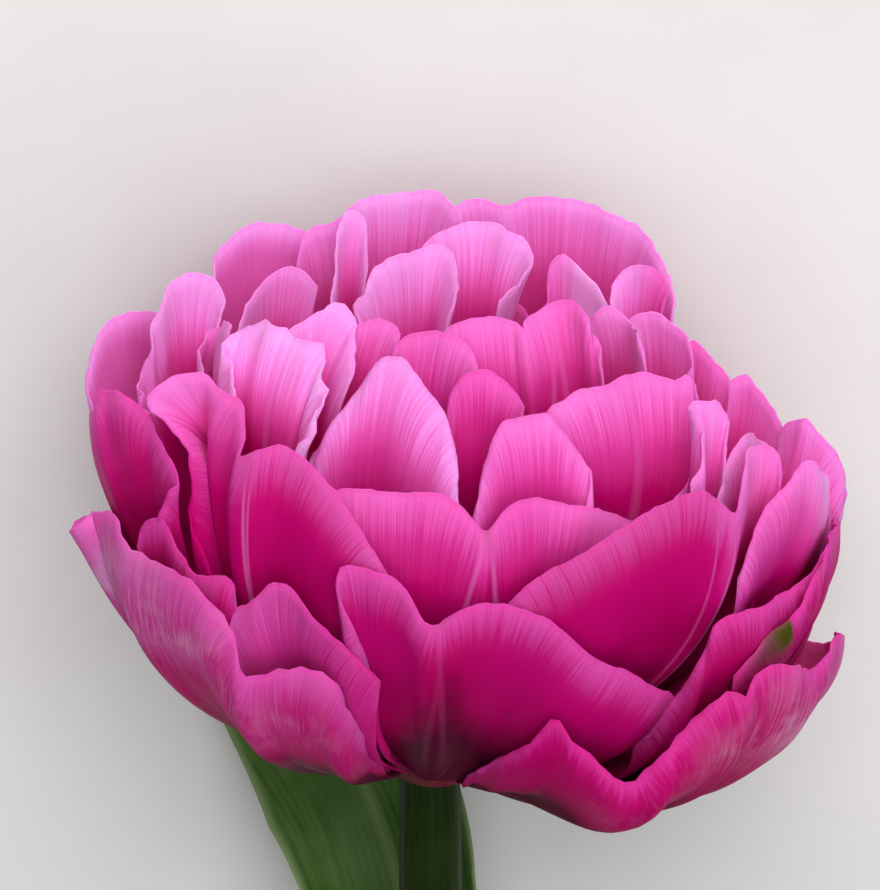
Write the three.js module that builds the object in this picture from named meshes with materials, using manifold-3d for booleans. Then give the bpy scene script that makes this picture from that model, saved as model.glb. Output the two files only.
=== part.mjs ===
// A cut double late tulip lying on a table: a peony-shaped bloom, its stem and two clasping leaves.
// Millimetres, +Z up. The stem lies along Y with the bloom at +Y, and the table is z = 0.
import * as THREE from "three";
import { mergeVertices } from "three/addons/utils/BufferGeometryUtils.js";
import Module from "manifold-3d";

const wasm = await Module();
wasm.setup();

const DEGREE = Math.PI / 180;

// Bloom: where it sits, how it is tipped and seen, its petals' feet, and the grids they are made on.
// A whorl counts from the outermost petals in: each is rooted a step further in and up.
const BLOOM_BASE = new THREE.Vector3(-4.6, 63.5, 36.9);
const BLOOM_TILT = 11 * DEGREE;
const BLOOM_LEAN = 4.5 * DEGREE;
const SIGHT_RISE = 25 * DEGREE;
const SIGHT_DISTANCE = 900;
const SIGHT_AIM = [-2.2, 45.1];
const PETAL_THICKNESS = 0.8;
const PRESS_SOFTNESS = 1.6;
const LAYER_RISE = 1.1;
const FOOT_RADIUS = 6.2;
const FOOT_HEIGHT = 2.7;
const FOOT_STEP_IN = 0.85;
const FOOT_STEP_UP = 1.3;
const FOOT_FAN = 0.45;
const RIM_TURN = 0.8;
const FANNING = 0.8;
const MAX_SPREAD = 75 * DEGREE;
const FOOT_PULL = 0.4;
const RIM_PULL = 0.35;
const COLUMN_WIDTH = 8;
const HIDDEN_COLUMN_WIDTH = 12;
const MIN_COLUMNS = 4;
const MAX_COLUMNS = 18;
const PETAL_ROWS = 4;
const HEART_SIDES = 14;
const WELD = 1e-4;

// Stem and leaves
const STEM_RADIUS = 4.35;
const STEM_FLARE = 0.35;
const STEM_NECK = 0.06;
const STEM_SIDES = 14;
const STEM_STEPS = 22;
const LEAF_THICKNESS = 1.0;
const LEAF_ACROSS = 10;
const LEAF_ALONG = 16;
const LEAF_WAVE_SHIFT = 1.1;
const LEAF_FOOT = 0.09;
const LEAF_FOOT_WIDTH = 0.35;

// Unit vectors of the flower's own frame: x to its right, -y towards the viewer, z up its axis.
const EYE = new THREE.Vector3(
  SIGHT_AIM[0],
  SIGHT_AIM[1] * Math.sin(SIGHT_RISE) - SIGHT_DISTANCE * Math.cos(SIGHT_RISE),
  SIGHT_AIM[1] * Math.cos(SIGHT_RISE) + SIGHT_DISTANCE * Math.sin(SIGHT_RISE),
);

// A rim point is where the sight line through (across, up) meets the cylinder of radius reach
// round the flower's axis. A negative reach takes the far side of that cylinder.
function sightPoint([across, up, reach]) {
  const start = new THREE.Vector3(across, up * Math.sin(SIGHT_RISE), up * Math.cos(SIGHT_RISE));
  const line = EYE.clone().sub(start);
  const a = line.x ** 2 + line.y ** 2;
  const b = start.x * line.x + start.y * line.y;
  const c = start.x ** 2 + start.y ** 2 - reach ** 2;
  const root = Math.sqrt(Math.max(b * b - a * c, 0));
  const along = (-b + Math.sign(reach) * root) / a;
  return start.addScaledVector(line, along);
}

// The petals that the front of the bloom shows, from the outermost in. Each edge runs round the
// petal's rim from its left margin to its right one, as [across, up, reach] in millimetres, with
// the angle above the horizontal at which the petal meets its rim there where that differs from
// arrive. Whorl is 0 outermost, facing is the bearing of the petal's back from the front, and rise
// is the angle at which it leaves the heart, from its left margin to its right one.
const FRONT_PETALS = [
  { name: "lower_left", whorl: 0, facing: -62, rise: [12, 17, 21, 24], arrive: 94,
    edge: [[-46.5, 31.2, -50, 75], [-49.6, 31.4, 51.5, 65], [-51.3, 29.5, 52.6, 62], [-50.2, 31, 51, 70],
      [-47, 32.3, 49.5, 85], [-45.3, 31.4, 49], [-43.7, 28.5, 48.5], [-41, 26.7, 48],
      [-38.4, 25.4, 47.5], [-34.8, 24.2, 46.5], [-32.3, 22.1, 45.5], [-30.4, 20, 45],
      [-28.4, 17.1, 44.5], [-27.1, 14, 44], [-26.2, 11.4, 43.5], [-21.8, 12.8, 42], [-19.1, 13, 41.5],
      [-14.9, 12.8, 40.5], [-12.9, 10.7, 39.5], [-11, 7.4, 36, 80], [-8.5, 4.1, 29, 60],
      [-6.5, 1.8, 17, 35]] },
  { name: "lower_right", whorl: 0, facing: 52, rise: [24, 26, 35, 20, -4, 12, 17, 18, 16], arrive: 100,
    edge: [[5, 0.6, 18, 35], [8.5, 3, 30, 60], [13.3, 5.9, 37, 80], [15, 8.2, 38.5], [16.3, 9, 39.5],
      [18.3, 7, 41], [21.8, 4.3, 43.5], [26, 1.1, 46], [28.5, 2.4, 47], [30.1, 4.3, 47.5, 108],
      [33.4, 8.5, 48.5, 114], [36, 11.6, 49.5, 112], [38.6, 14.2, 50.5, 110], [40.4, 14.7, 51.2, 106],
      [41.9, 14.2, 51.8, 102], [42.7, 16.4, 52, 100], [45, 18.5, 52.8, 98], [47.5, 19, 53.5, 97],
      [49.6, 18.7, 54, 96], [51.3, 18.6, 54.4, 96], [52.3, 20.6, 54.8, 95], [53.5, 23.1, 55, 94],
      [51.7, 22.3, -54, 95], [46.6, 22.6, -52, 95]] },
  { name: "front_heart", whorl: 0.4, facing: 4, rise: [31], arrive: 86,
    edge: [[-8.2, 10, 28], [-9.2, 13.8, 33], [-11.5, 18.1, 36.5], [-13.6, 22, 38.5], [-14.5, 25.5, 39],
      [-14, 27.4, 38.5], [-11.5, 27.2, 38], [-7.6, 26.3, 38], [-4.8, 24.2, 38.5], [-2.7, 20.9, 39.5],
      [-0.6, 20.1, 40], [1.4, 21.7, 39.5], [3.5, 23.2, 39], [6.8, 24, 38.5], [11.5, 23.2, 38.5],
      [16.4, 21, 39.5], [21.9, 17.1, 41], [25.5, 16.3, 41.5], [29.3, 14.5, 42], [32, 13.5, 42, 75],
      [32.5, 12.1, 41.5, 60], [31.8, 9.8, 40.5, 50], [26.2, 7.2, 37, 40], [21, 5, 31, 35]] },
  { name: "small_left", whorl: 0.6, facing: -40, rise: [30], arrive: 84,
    edge: [[-26.5, 11, 41], [-28.6, 17.5, 41.8], [-28, 20.6, 41.3], [-26.3, 21.6, 40.8],
      [-22.7, 24.7, 39.5], [-17.2, 20.1, 39], [-12.5, 16.3, 38.5], [-7.8, 12.5, 36]] },
  { name: "left_outer", whorl: 0.6, facing: -82, rise: [30], arrive: 80,
    edge: [[-42, 28, -44], [-45.8, 34.2, -47.5], [-48.2, 41, -49.5], [-49.8, 46.9, 50.2],
      [-48.4, 48.3, 49], [-45.8, 48.2, 47.5], [-43.4, 45.9, 46], [-41.6, 43.3, 45], [-38, 37.8, 44],
      [-38.5, 34.8, 44], [-39.6, 31.8, 44.5], [-38, 26, 43.5]] },
  { name: "left_sliver", whorl: 0.7, facing: -55, rise: [27], arrive: 84,
    edge: [[-42, 28, 46.5], [-41.6, 31, 46.2], [-39.7, 31.8, 45.5], [-36.6, 27.6, 44.8],
      [-33.9, 24.7, 44], [-30.1, 24.7, 42.8], [-28.5, 23.3, 42], [-27, 18, 40]] },
  { name: "left_heart", whorl: 1, facing: -45, rise: [28], arrive: 98,
    edge: [[-31, 24, 40.5, 90], [-33.1, 28.9, 41.5, 90], [-34.8, 32.6, 42, 85], [-35.2, 38.1, 42, 75],
      [-35.2, 41.4, 41.5, 55], [-38.6, 44.9, 43.5, 35], [-42.1, 48.2, 46, 25], [-37.7, 51.3, 42, 55],
      [-34.9, 52, 39.5, 80], [-32.8, 50.3, 38.5], [-29.7, 48.1, 38], [-29.4, 44.3, 38.5],
      [-29.6, 41.2, 39.5], [-27, 42.2, 38.5], [-24.2, 43, 37], [-20.2, 41.2, 36], [-16.2, 37.7, 35.5],
      [-11.1, 30.9, 36], [-7.7, 26.6, 35.5], [-7, 22, 34]] },
  { name: "centre_heart", whorl: 1.4, facing: 8, rise: [36], arrive: 104,
    edge: [[-19, 33, 33], [-16.5, 37.4, 32.3], [-13.5, 38, 32], [-7.2, 38, 31.5], [-1.9, 38.3, 31.5],
      [1.2, 36.8, 32], [3.4, 34.9, 32.5], [4.8, 33.7, 33], [6, 34.6, 32.5], [7.9, 37.2, 31.5],
      [11.1, 38.7, 31], [15.5, 38.3, 31], [20.3, 37.9, 31.5], [25, 36.5, 32], [28.5, 33.5, 32.5]] },
  { name: "right_heart", whorl: 1, facing: 52, rise: [30], arrive: 97,
    edge: [[8.6, 24.1, 36], [11.2, 27.1, 36.5], [15.3, 29.7, 37], [21.2, 34, 38], [24.7, 36.5, 38.5],
      [28.5, 39.1, 39.5], [31.6, 41, 40.5], [33.7, 41.5, 41.5], [36.4, 40.1, 43.2], [38.7, 38.8, 44.6],
      [39.2, 43, 43.5], [39.6, 47, 42.5], [41.9, 48.3, 43], [43.6, 47.6, 44.3], [44.1, 45.5, 45],
      [43.8, 40, 45], [42, 33, 44.3]] },
  { name: "right_blade", whorl: 0.8, facing: 72, rise: [26], arrive: 92,
    edge: [[39.5, 30, 44.6], [41, 34.5, 45.6], [43, 39, 46.5], [44.8, 41.9, 47.2], [47.3, 45.8, 48.4],
      [48.8, 46.5, 49.3], [50.2, 45.7, 50.3], [51, 42, -51.2], [51.2, 38, -51.4]] },
  { name: "right_fold", whorl: 0.5, facing: 72, rise: [22], arrive: 96,
    edge: [[27, 8, 37], [30.4, 11, 40.2], [33, 14.5, 42.6], [35.2, 19, 44.6], [37, 23.4, 46.2],
      [39.8, 25.1, 47.4], [44, 27, 48.6], [47.4, 29.3, 49.8], [50, 32.3, 51], [51.6, 35.6, 51.8],
      [52.4, 38.9, -52.5], [51.8, 36, -52.6]] },
  { name: "right_back", whorl: 0.8, facing: 94, rise: [26], arrive: 90,
    edge: [[43, 47, -45], [43.9, 51.3, -45.5], [45.6, 52.1, -46.5], [47.1, 52.4, -47.5],
      [48.5, 51, -49], [51.4, 48.1, -51.6], [52.7, 45.9, -53], [53.1, 43.7, -53.5], [52.5, 39.5, -53],
      [50.5, 36, -51.5]] },
  { name: "right_streaked", whorl: 0.25, facing: 84, rise: [19], arrive: 90,
    edge: [[40, 17, 47.5], [43.6, 21.5, 49.2], [47.4, 26, 50.8], [49.6, 30, 51.8], [51, 33.2, 52.3],
      [51.6, 34.6, -52.5], [51, 31.5, -52.6], [50.2, 27.8, -52], [48.4, 24.6, -51]] },
  { name: "right_inner", whorl: 1.3, facing: 76, rise: [31], arrive: 94,
    edge: [[36, 40, 39.5], [37, 45, 39.3], [38.3, 48.5, 39.6], [39.5, 49.4, 40.2], [41, 49, -41.5],
      [42.5, 48, -43], [43.5, 45, -44]] },
  { name: "pointed", whorl: 2.4, facing: -18, rise: [48], arrive: 118,
    edge: [[-21.5, 37, 26.5], [-20, 41.2, 26], [-17.5, 46.3, 24], [-14.5, 51.1, 21.3],
      [-12.3, 54.6, 19.3], [-11.1, 56.1, 18.4], [-9.6, 56.5, 18], [-8.2, 56.3, 17.8],
      [-6.8, 54.8, 18.5], [-4.8, 52.5, 19.5], [-2.1, 49.6, 20.5], [-0.4, 45.2, 22.5], [0.8, 37.9, 26],
      [2.3, 34, 27.5]] },
  { name: "rounded", whorl: 2.4, facing: 28, rise: [44], arrive: 117,
    edge: [[2.5, 34, 27.5], [3.4, 38.1, 26.5], [4.2, 43.5, 24.5], [6, 48.6, 22.8], [9.4, 49.8, 22.8],
      [11.9, 50.4, 23.2], [13.8, 48.9, 24.2], [15.9, 46.5, 25.7], [17.6, 44.1, 27.2], [18.2, 39.8, 29],
      [17.9, 36, 30]] },
  { name: "curled", whorl: 3.2, facing: 8, rise: [62], arrive: 110,
    edge: [[-1.5, 44, 17], [-1.9, 49.9, 16], [-0.7, 53.5, 15], [1, 55.1, 14.5], [3.5, 55.6, 14.5],
      [6.2, 54, 15.5], [7.9, 51.7, 17], [7.6, 48, 18.5], [6.5, 43, 19.5]] },
  { name: "broad_right", whorl: 2.3, facing: 52, rise: [54, 46, 40], arrive: 116,
    edge: [[12.5, 43, 22.5], [11.9, 50.5, 20.3], [14, 52.2, 20.8], [16.4, 54, 21.5], [19, 54.5, 23.2],
      [22.3, 56.4, 25.3], [24.9, 56.9, 27.3], [29, 56.2, 30.6], [30.8, 57.1, 31.8],
      [31.7, 53.6, 33, 105], [31.9, 47.4, 33.8, 100], [31.2, 41.9, 34, 98], [28, 38, 33]] },
  { name: "crown_heart", whorl: 3.4, facing: 60, rise: [62], arrive: 107,
    edge: [[-4.2, 58.8, 9], [-3.3, 59.8, 8.5], [-1.3, 61.5, 7.5], [2.5, 62.7, 7], [5.5, 62.6, 8],
      [8.2, 61.4, 11], [8.6, 62.8, 10.5], [10.2, 64.3, 11], [12.5, 65.7, 12.7], [14, 65.8, 14.2],
      [16.1, 63.7, 17], [17.6, 60.8, 18.5], [18.9, 55.4, 20.5]] },
  { name: "crown_right", whorl: 3, facing: 80, rise: [56], arrive: 104,
    edge: [[16, 61, -17.5], [17.4, 64.4, -18.5], [19.4, 65.5, -20.3], [21.8, 63.7, -22.3],
      [23.5, 61.2, 24], [24.5, 58.5, 25.4], [24.8, 54, 26]] },
  { name: "crown_edge", whorl: 2.6, facing: 94, rise: [46], arrive: 105,
    edge: [[21.5, 60, -25], [22.2, 63.7, -26.5], [25.3, 65.1, -28.8], [27.6, 63.7, -30],
      [29.7, 61.7, -31], [30.6, 58.3, -31.5], [31.3, 54, -32.5]] },
  { name: "back_right", whorl: 2.2, facing: 150, rise: [36], arrive: 99,
    edge: [[-3.5, 74, -34], [-2.1, 77.2, -34.5], [0.7, 78.1, -34.5], [3.7, 77.6, -34], [7.9, 79, -35.5],
      [11.4, 79.1, -36], [15.6, 78.6, -36.5], [20, 77, -36.5], [22.3, 75.4, -36], [24.4, 73, -35.5],
      [26, 70.3, -35], [27, 67.8, -34.5], [26.8, 65.2, -33.5], [27, 60, -33]] },
  { name: "back_strip", whorl: 2.7, facing: 148, rise: [45], arrive: 96,
    edge: [[10.9, 64, -27.5], [10.8, 68, -29], [11.4, 71.4, -30], [12.2, 71.9, -30.2], [13.4, 71.2, -30],
      [15.6, 69.4, -29.5], [17.6, 67.5, -29], [18.9, 65.4, -28.5], [19, 63, -28]] },
  { name: "back_knob", whorl: 2.6, facing: 130, rise: [44], arrive: 96,
    edge: [[20.7, 63, -27.5], [20.5, 68.2, -29.5], [21.2, 70.4, -30.3], [22.9, 71.1, -31],
      [24.6, 70.6, -31.5], [25.7, 69, -31.5], [26, 66, -31]] },
  { name: "back_top", whorl: 2.4, facing: 200, rise: [36], arrive: 99,
    edge: [[-23, 68, -35], [-22, 71.9, -35.5], [-17.9, 73.6, -34.5], [-15.4, 76.3, -34.8],
      [-12.8, 77.7, -34.8], [-8.6, 78.2, -34], [-5.1, 78.4, -33], [-2.9, 76.6, -31.5], [-1.5, 73, -30]] },
  { name: "top_fold", whorl: 2.8, facing: 200, rise: [46], arrive: 97,
    edge: [[-18, 62, -26], [-17.8, 69, -28.5], [-17.5, 73.4, -30.4], [-16.7, 75.6, -31.2],
      [-15.6, 75.4, -31], [-14.7, 72.6, -30], [-14.3, 66, -27.5]] },
  { name: "crest_left", whorl: 3.2, facing: 200, rise: [60], arrive: 90,
    edge: [[-14, 60, -16.5], [-12.5, 65.3, -17], [-11.3, 67.9, -17], [-7.3, 70.4, -16],
      [-4.9, 71.2, -15.5], [-3.5, 68, -13], [-3, 63, -10]] },
  { name: "crest_right", whorl: 3.1, facing: 180, rise: [58], arrive: 95,
    edge: [[-5, 68, -18], [-4.3, 72.2, -19.5], [-2.3, 73.6, -20], [0.9, 74.4, -20.5], [3.5, 74.2, -20],
      [5.4, 73, -19.5], [6, 70.5, -18.5], [4.7, 67.8, -16.5], [3.6, 65.3, -14]] },
  { name: "back_left", whorl: 1.6, facing: 215, rise: [31], arrive: 94,
    edge: [[-35, 60, -41], [-34, 65.4, -43], [-32.9, 69, -44], [-30.9, 71.9, -44], [-29, 72.7, -43.5],
      [-25.8, 72.7, -42], [-22.4, 71.9, -40], [-19, 70, -38.5]] },
  { name: "back_fold", whorl: 2.4, facing: 232, rise: [42], arrive: 100,
    edge: [[-30.5, 55, -31], [-29.9, 58.8, -31], [-28.8, 62, -31.5], [-26.6, 65.3, -32],
      [-25.1, 66.8, -31.5], [-22.9, 67, -30], [-20.5, 65, -28]] },
  { name: "left_roll", whorl: 1.2, facing: -90, rise: [32], arrive: 94,
    edge: [[-41.8, 46, 42], [-42.1, 50.8, -42.3], [-41.5, 56.3, -42.2], [-40.2, 61.5, -42],
      [-38.8, 64.4, -41.8], [-36.7, 65.3, -40.5], [-34.6, 65, -39], [-34.4, 60, -37.5],
      [-34.8, 54, -36.5]] },
  { name: "left_back", whorl: 0.8, facing: -115, rise: [28], arrive: 86,
    edge: [[-48.6, 45, -49.4], [-50.2, 49.6, -51], [-49.5, 55.2, -51], [-46.9, 58.8, -50],
      [-44.5, 59.7, -49], [-40.7, 59.7, -47.5], [-36, 58, -45]] },
  { name: "left_tab", whorl: 2, facing: -80, rise: [42], arrive: 99,
    edge: [[-34.6, 50, 34.8], [-34.5, 57.8, -34.8], [-33.4, 58.6, -33.6], [-32.3, 58.6, 32.4],
      [-31, 56, 31.2], [-30, 50, 30.6]] },
  { name: "ruffle", whorl: 2.1, facing: -55, rise: [49], arrive: 106,
    edge: [[-28.5, 44, 34.3], [-30.1, 52.5, 33], [-31.2, 56.7, 32.4], [-30.9, 57.6, 32],
      [-29, 59.3, 30.4], [-26.9, 59.7, 29], [-24.7, 58.5, 28], [-22.6, 57.3, 27], [-20.2, 57.5, 25.5],
      [-19.4, 55.4, 25.5], [-19.8, 52.7, 26.3], [-19.2, 52, 26.6], [-20.6, 46.4, 29], [-21.8, 41, 30.5]] },
  { name: "light_fold", whorl: 2.8, facing: -75, rise: [57], arrive: 108,
    edge: [[-23.2, 54, 25], [-22.9, 58.3, 23.7], [-19.1, 61.4, 19.5], [-17.1, 62.9, 17.2],
      [-15.9, 60.3, 16.7], [-15, 53.7, 18.5]] },
  { name: "heart_small", whorl: 3.6, facing: -50, rise: [65], arrive: 108,
    edge: [[-14.8, 55, 16.2], [-14.7, 59.3, 15.2], [-13.5, 60.8, 13.9], [-11.5, 61.3, 12.3],
      [-9.4, 60.2, 11], [-9.2, 58, 11.8], [-9.4, 55, 13]] },
  { name: "heart_pink", whorl: 3.6, facing: -8, rise: [65], arrive: 108,
    edge: [[-9, 54, 13.5], [-8.6, 58.5, 11.5], [-6, 60, 9.5], [-3, 60.2, 8.8], [0, 59, 9.8],
      [1.5, 56, 12], [1.6, 50, 14]] },
  { name: "right_tab", whorl: 1.8, facing: 108, rise: [37], arrive: 98,
    edge: [[29, 58, -33.5], [30.5, 61.5, -35], [32.8, 59.9, -36.2], [34.8, 58.1, -37.5],
      [35.8, 56.9, -38.2], [36, 52, -38]] },
  { name: "right_peak", whorl: 1.3, facing: 108, rise: [33], arrive: 97,
    edge: [[34.5, 52, -38.8], [35.8, 54.3, -40.2], [36.7, 56.6, -41.5], [38.2, 57.4, -42.8],
      [39.9, 55.9, -43.7], [41.9, 53.6, -44.7], [43.4, 50.9, -45.5], [44, 46, -46]] },
  { name: "right_curl", whorl: 1.6, facing: 74, rise: [33], arrive: 95,
    edge: [[32.4, 42.5, 39.4], [33.6, 44.9, 39], [33.6, 47.8, 38.3], [33.5, 50.5, 37.6],
      [32, 53.1, 36.2], [33.8, 53.6, 36.8], [35.2, 53.7, 37.4], [36, 50, 38.3], [36.2, 45, 39]] },
];

// The petals that the front hides: broad hearts round the back and inside the bloom.
const HIDDEN_PETALS = [
  { name: "under_middle", bearing: 168, half: 33, height: 44, reach: 50, whorl: 0, rise: 15, arrive: 82 },
  { name: "under_right", bearing: 128, half: 27, height: 43, reach: 46, whorl: 0.85, rise: 19, arrive: 83 },
  { name: "under_left", bearing: 212, half: 27, height: 45, reach: 46.5, whorl: 0.85, rise: 20, arrive: 83 },
  { name: "behind_right", bearing: 142, half: 24, height: 54, reach: 43.5, whorl: 1.3, rise: 27, arrive: 88 },
  { name: "behind_middle", bearing: 188, half: 25, height: 57, reach: 40, whorl: 1.6, rise: 31, arrive: 90 },
  { name: "behind_left", bearing: 222, half: 17, height: 52, reach: 46, whorl: 1.2, rise: 25, arrive: 86 },
  { name: "second_right", bearing: 120, half: 22, height: 56, reach: 30.5, whorl: 2.2, rise: 43, arrive: 94 },
  { name: "second_middle", bearing: 176, half: 26, height: 62, reach: 29.5, whorl: 2.5, rise: 43, arrive: 95 },
  { name: "third_middle", bearing: 162, half: 28, height: 62, reach: 24.5, whorl: 2.8, rise: 50, arrive: 96 },
  { name: "third_right", bearing: 126, half: 18, height: 56, reach: 21, whorl: 3.2, rise: 56, arrive: 96 },
  { name: "third_left", bearing: 224, half: 26, height: 60, reach: 23, whorl: 2.9, rise: 52, arrive: 96 },
  { name: "heart_right", bearing: 100, half: 35, height: 60, reach: 10, whorl: 3.7, rise: 66, arrive: 98 },
  { name: "heart_left", bearing: 210, half: 40, height: 60, reach: 8, whorl: 3.8, rise: 66, arrive: 95 },
];
const HIDDEN_RIM_POINTS = 9;
const HIDDEN_DROP = 0.42;
const HIDDEN_NOTCH = 5;
const HIDDEN_GATHER = 0.1;
const HIDDEN_SHOULDER = 2.4;
const HIDDEN_NOTCH_WIDTH = 0.2;

// Leaves: the spine's points, the half widths along it, the radius that the blade is rolled to, the
// side that its hollow faces at the foot and at the tip, and the waves of its two margins.
const LEAVES = [
  {
    name: "leaf_upper",
    spine: [[0, -66, -20.8], [0, -52, -17.6], [-1, -38, -17.5], [-4, -24, -22], [-9.5, -9, -28],
      [-19, 4, -32.8], [-30, 17, -34.8], [-42, 31, -35.6]],
    half: [8, 10, 12.5, 14.5, 14.5, 11.5, 8.5, 0.8],
    roll: [5.7, 6, 8, 13, 24, 36, 36, 36],
    hollow: [[0, -0.15, 1], [-0.1, 0.1, 1]],
    wave: 1.4,
    waves: 2.4,
    colour: 0x5f8440,
  },
  {
    name: "leaf_lower",
    spine: [[4.9, -160, -33.2], [6.4, -146, -33], [13, -128, -33.8], [22.5, -108, -35], [31, -86, -35.4],
      [38, -63, -35.4], [42, -42, -35]],
    half: [8, 11, 17, 20, 19, 13, 0.8],
    roll: [6.1, 8.2, 15, 28, 40, 40, 40],
    hollow: [[-0.75, 0, 0.66], [-0.1, 0, 1]],
    wave: 2.2,
    waves: 3.1,
    colour: 0x4f7740,
  },
];

// From the flower's frame to the table's: the axis is tipped up from the table and leans to the
// right as seen along the sight line.
const SIGHT_ON_TABLE = new THREE.Vector3(
  0,
  Math.sin(SIGHT_RISE - BLOOM_TILT),
  Math.cos(SIGHT_RISE - BLOOM_TILT),
);
const TILTED = new THREE.Matrix4().makeBasis(
  new THREE.Vector3(1, 0, 0),
  new THREE.Vector3(0, Math.sin(BLOOM_TILT), -Math.cos(BLOOM_TILT)),
  new THREE.Vector3(0, Math.cos(BLOOM_TILT), Math.sin(BLOOM_TILT)),
);
const BLOOM_TURN = new THREE.Matrix4().makeRotationAxis(SIGHT_ON_TABLE, -BLOOM_LEAN).multiply(TILTED);

function onTable(point) {
  return point.clone().applyMatrix4(BLOOM_TURN).add(BLOOM_BASE);
}

// What would reach below its level is laid down on it, with a smooth bend where it meets it.
function pressed(point, level) {
  const above = (point.z - level) / PRESS_SOFTNESS;
  const lifted = Math.max(above, 0) + Math.log1p(Math.exp(-Math.abs(above)));
  return new THREE.Vector3(point.x, point.y, level + PRESS_SOFTNESS * lifted);
}

// A point of a list of numbers, as the curve that runs through the list would have it at t.
function along(list, t) {
  const place = t * (list.length - 1);
  const first = Math.min(Math.floor(place), list.length - 2);
  const share = place - first;
  return list[first] * (1 - share) + list[first + 1] * share;
}

function bearingDirection(bearing) {
  return new THREE.Vector3(Math.sin(bearing), -Math.cos(bearing), 0);
}

function wrapped(angle) {
  return Math.atan2(Math.sin(angle), Math.cos(angle));
}

// The rim of a hidden petal: a broad heart round the axis, highest beside its notch.
function hiddenRim({ bearing, half, height, reach }) {
  const rim = [];
  for (let i = 0; i < HIDDEN_RIM_POINTS; i += 1) {
    const across = -1 + (2 * i) / (HIDDEN_RIM_POINTS - 1);
    const radius = reach * (1 - HIDDEN_GATHER * across ** 2);
    const up = height * (1 - HIDDEN_DROP * Math.abs(across) ** HIDDEN_SHOULDER);
    const notch = HIDDEN_NOTCH * Math.exp(-((across / HIDDEN_NOTCH_WIDTH) ** 2));
    const point = bearingDirection((bearing + half * across) * DEGREE).multiplyScalar(radius);
    rim.push(point.setZ(up - notch));
  }
  return rim;
}

// A petal's middle surface: ribs fan out from a short arc on the heart to the rim. Each rib is a
// cubic curve that leaves the heart at the angle rise and meets the rim at the angle arrive.
function petalSurface(petal, columns, rows) {
  const rimPoints = petal.edge ? petal.edge.map(sightPoint) : hiddenRim(petal);
  const arrivals = rimPoints.map((point, i) => petal.edge?.[i][3] ?? petal.arrive);
  const rim = new THREE.CatmullRomCurve3(rimPoints, false, "centripetal");
  const facing = (petal.facing ?? petal.bearing) * DEGREE;
  const rises = [petal.rise, petal.rise].flat();
  const footRadius = FOOT_RADIUS - FOOT_STEP_IN * petal.whorl;
  const footHeight = FOOT_HEIGHT + FOOT_STEP_UP * petal.whorl;
  const surface = [];
  for (let i = 0; i <= columns; i += 1) {
    const share = i / columns;
    const t = rim.getUtoTmapping(share);
    const tip = rim.getPoint(t);
    const spread = wrapped(Math.atan2(tip.x, -tip.y) - facing);
    const turn = THREE.MathUtils.clamp(spread, -MAX_SPREAD, MAX_SPREAD);
    const footBearing = facing + turn * FOOT_FAN;
    const rimBearing = facing + turn * RIM_TURN;
    const footOut = bearingDirection(footBearing);
    const rimOut = bearingDirection(rimBearing);
    const footSide = new THREE.Vector3(Math.cos(footBearing), Math.sin(footBearing), 0);
    const rimSide = new THREE.Vector3(Math.cos(rimBearing), Math.sin(rimBearing), 0);
    const foot = footOut.clone().multiplyScalar(footRadius).setZ(footHeight);
    const span = tip.clone().sub(foot);
    const length = span.length();
    const rise = along(rises, share) * DEGREE;
    const arrive = along(arrivals, t) * DEGREE;
    const first = foot
      .clone()
      .addScaledVector(footOut, length * FOOT_PULL * Math.cos(rise))
      .addScaledVector(footSide, FANNING * FOOT_PULL * span.dot(footSide));
    first.z += length * FOOT_PULL * Math.sin(rise);
    const second = tip
      .clone()
      .addScaledVector(rimOut, -length * RIM_PULL * Math.cos(arrive))
      .addScaledVector(rimSide, -FANNING * RIM_PULL * span.dot(rimSide));
    second.z -= length * RIM_PULL * Math.sin(arrive);
    const rib = new THREE.CubicBezierCurve3(foot, first, second, tip);
    const points = [];
    for (let j = 0; j <= rows; j += 1) {
      points.push(pressed(onTable(rib.getPoint(j / rows)), PETAL_THICKNESS / 2 + LAYER_RISE * petal.whorl));
    }
    surface.push(points);
  }
  return surface;
}

// Normals of a grid of points, from the points beside each one.
function gridNormals(grid) {
  const last = grid.length - 1;
  const end = grid[0].length - 1;
  return grid.map((line, i) =>
    line.map((point, j) => {
      const across = grid[Math.min(i + 1, last)][j].clone().sub(grid[Math.max(i - 1, 0)][j]);
      const up = line[Math.min(j + 1, end)].clone().sub(line[Math.max(j - 1, 0)]);
      return across.cross(up).normalize();
    }),
  );
}

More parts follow.
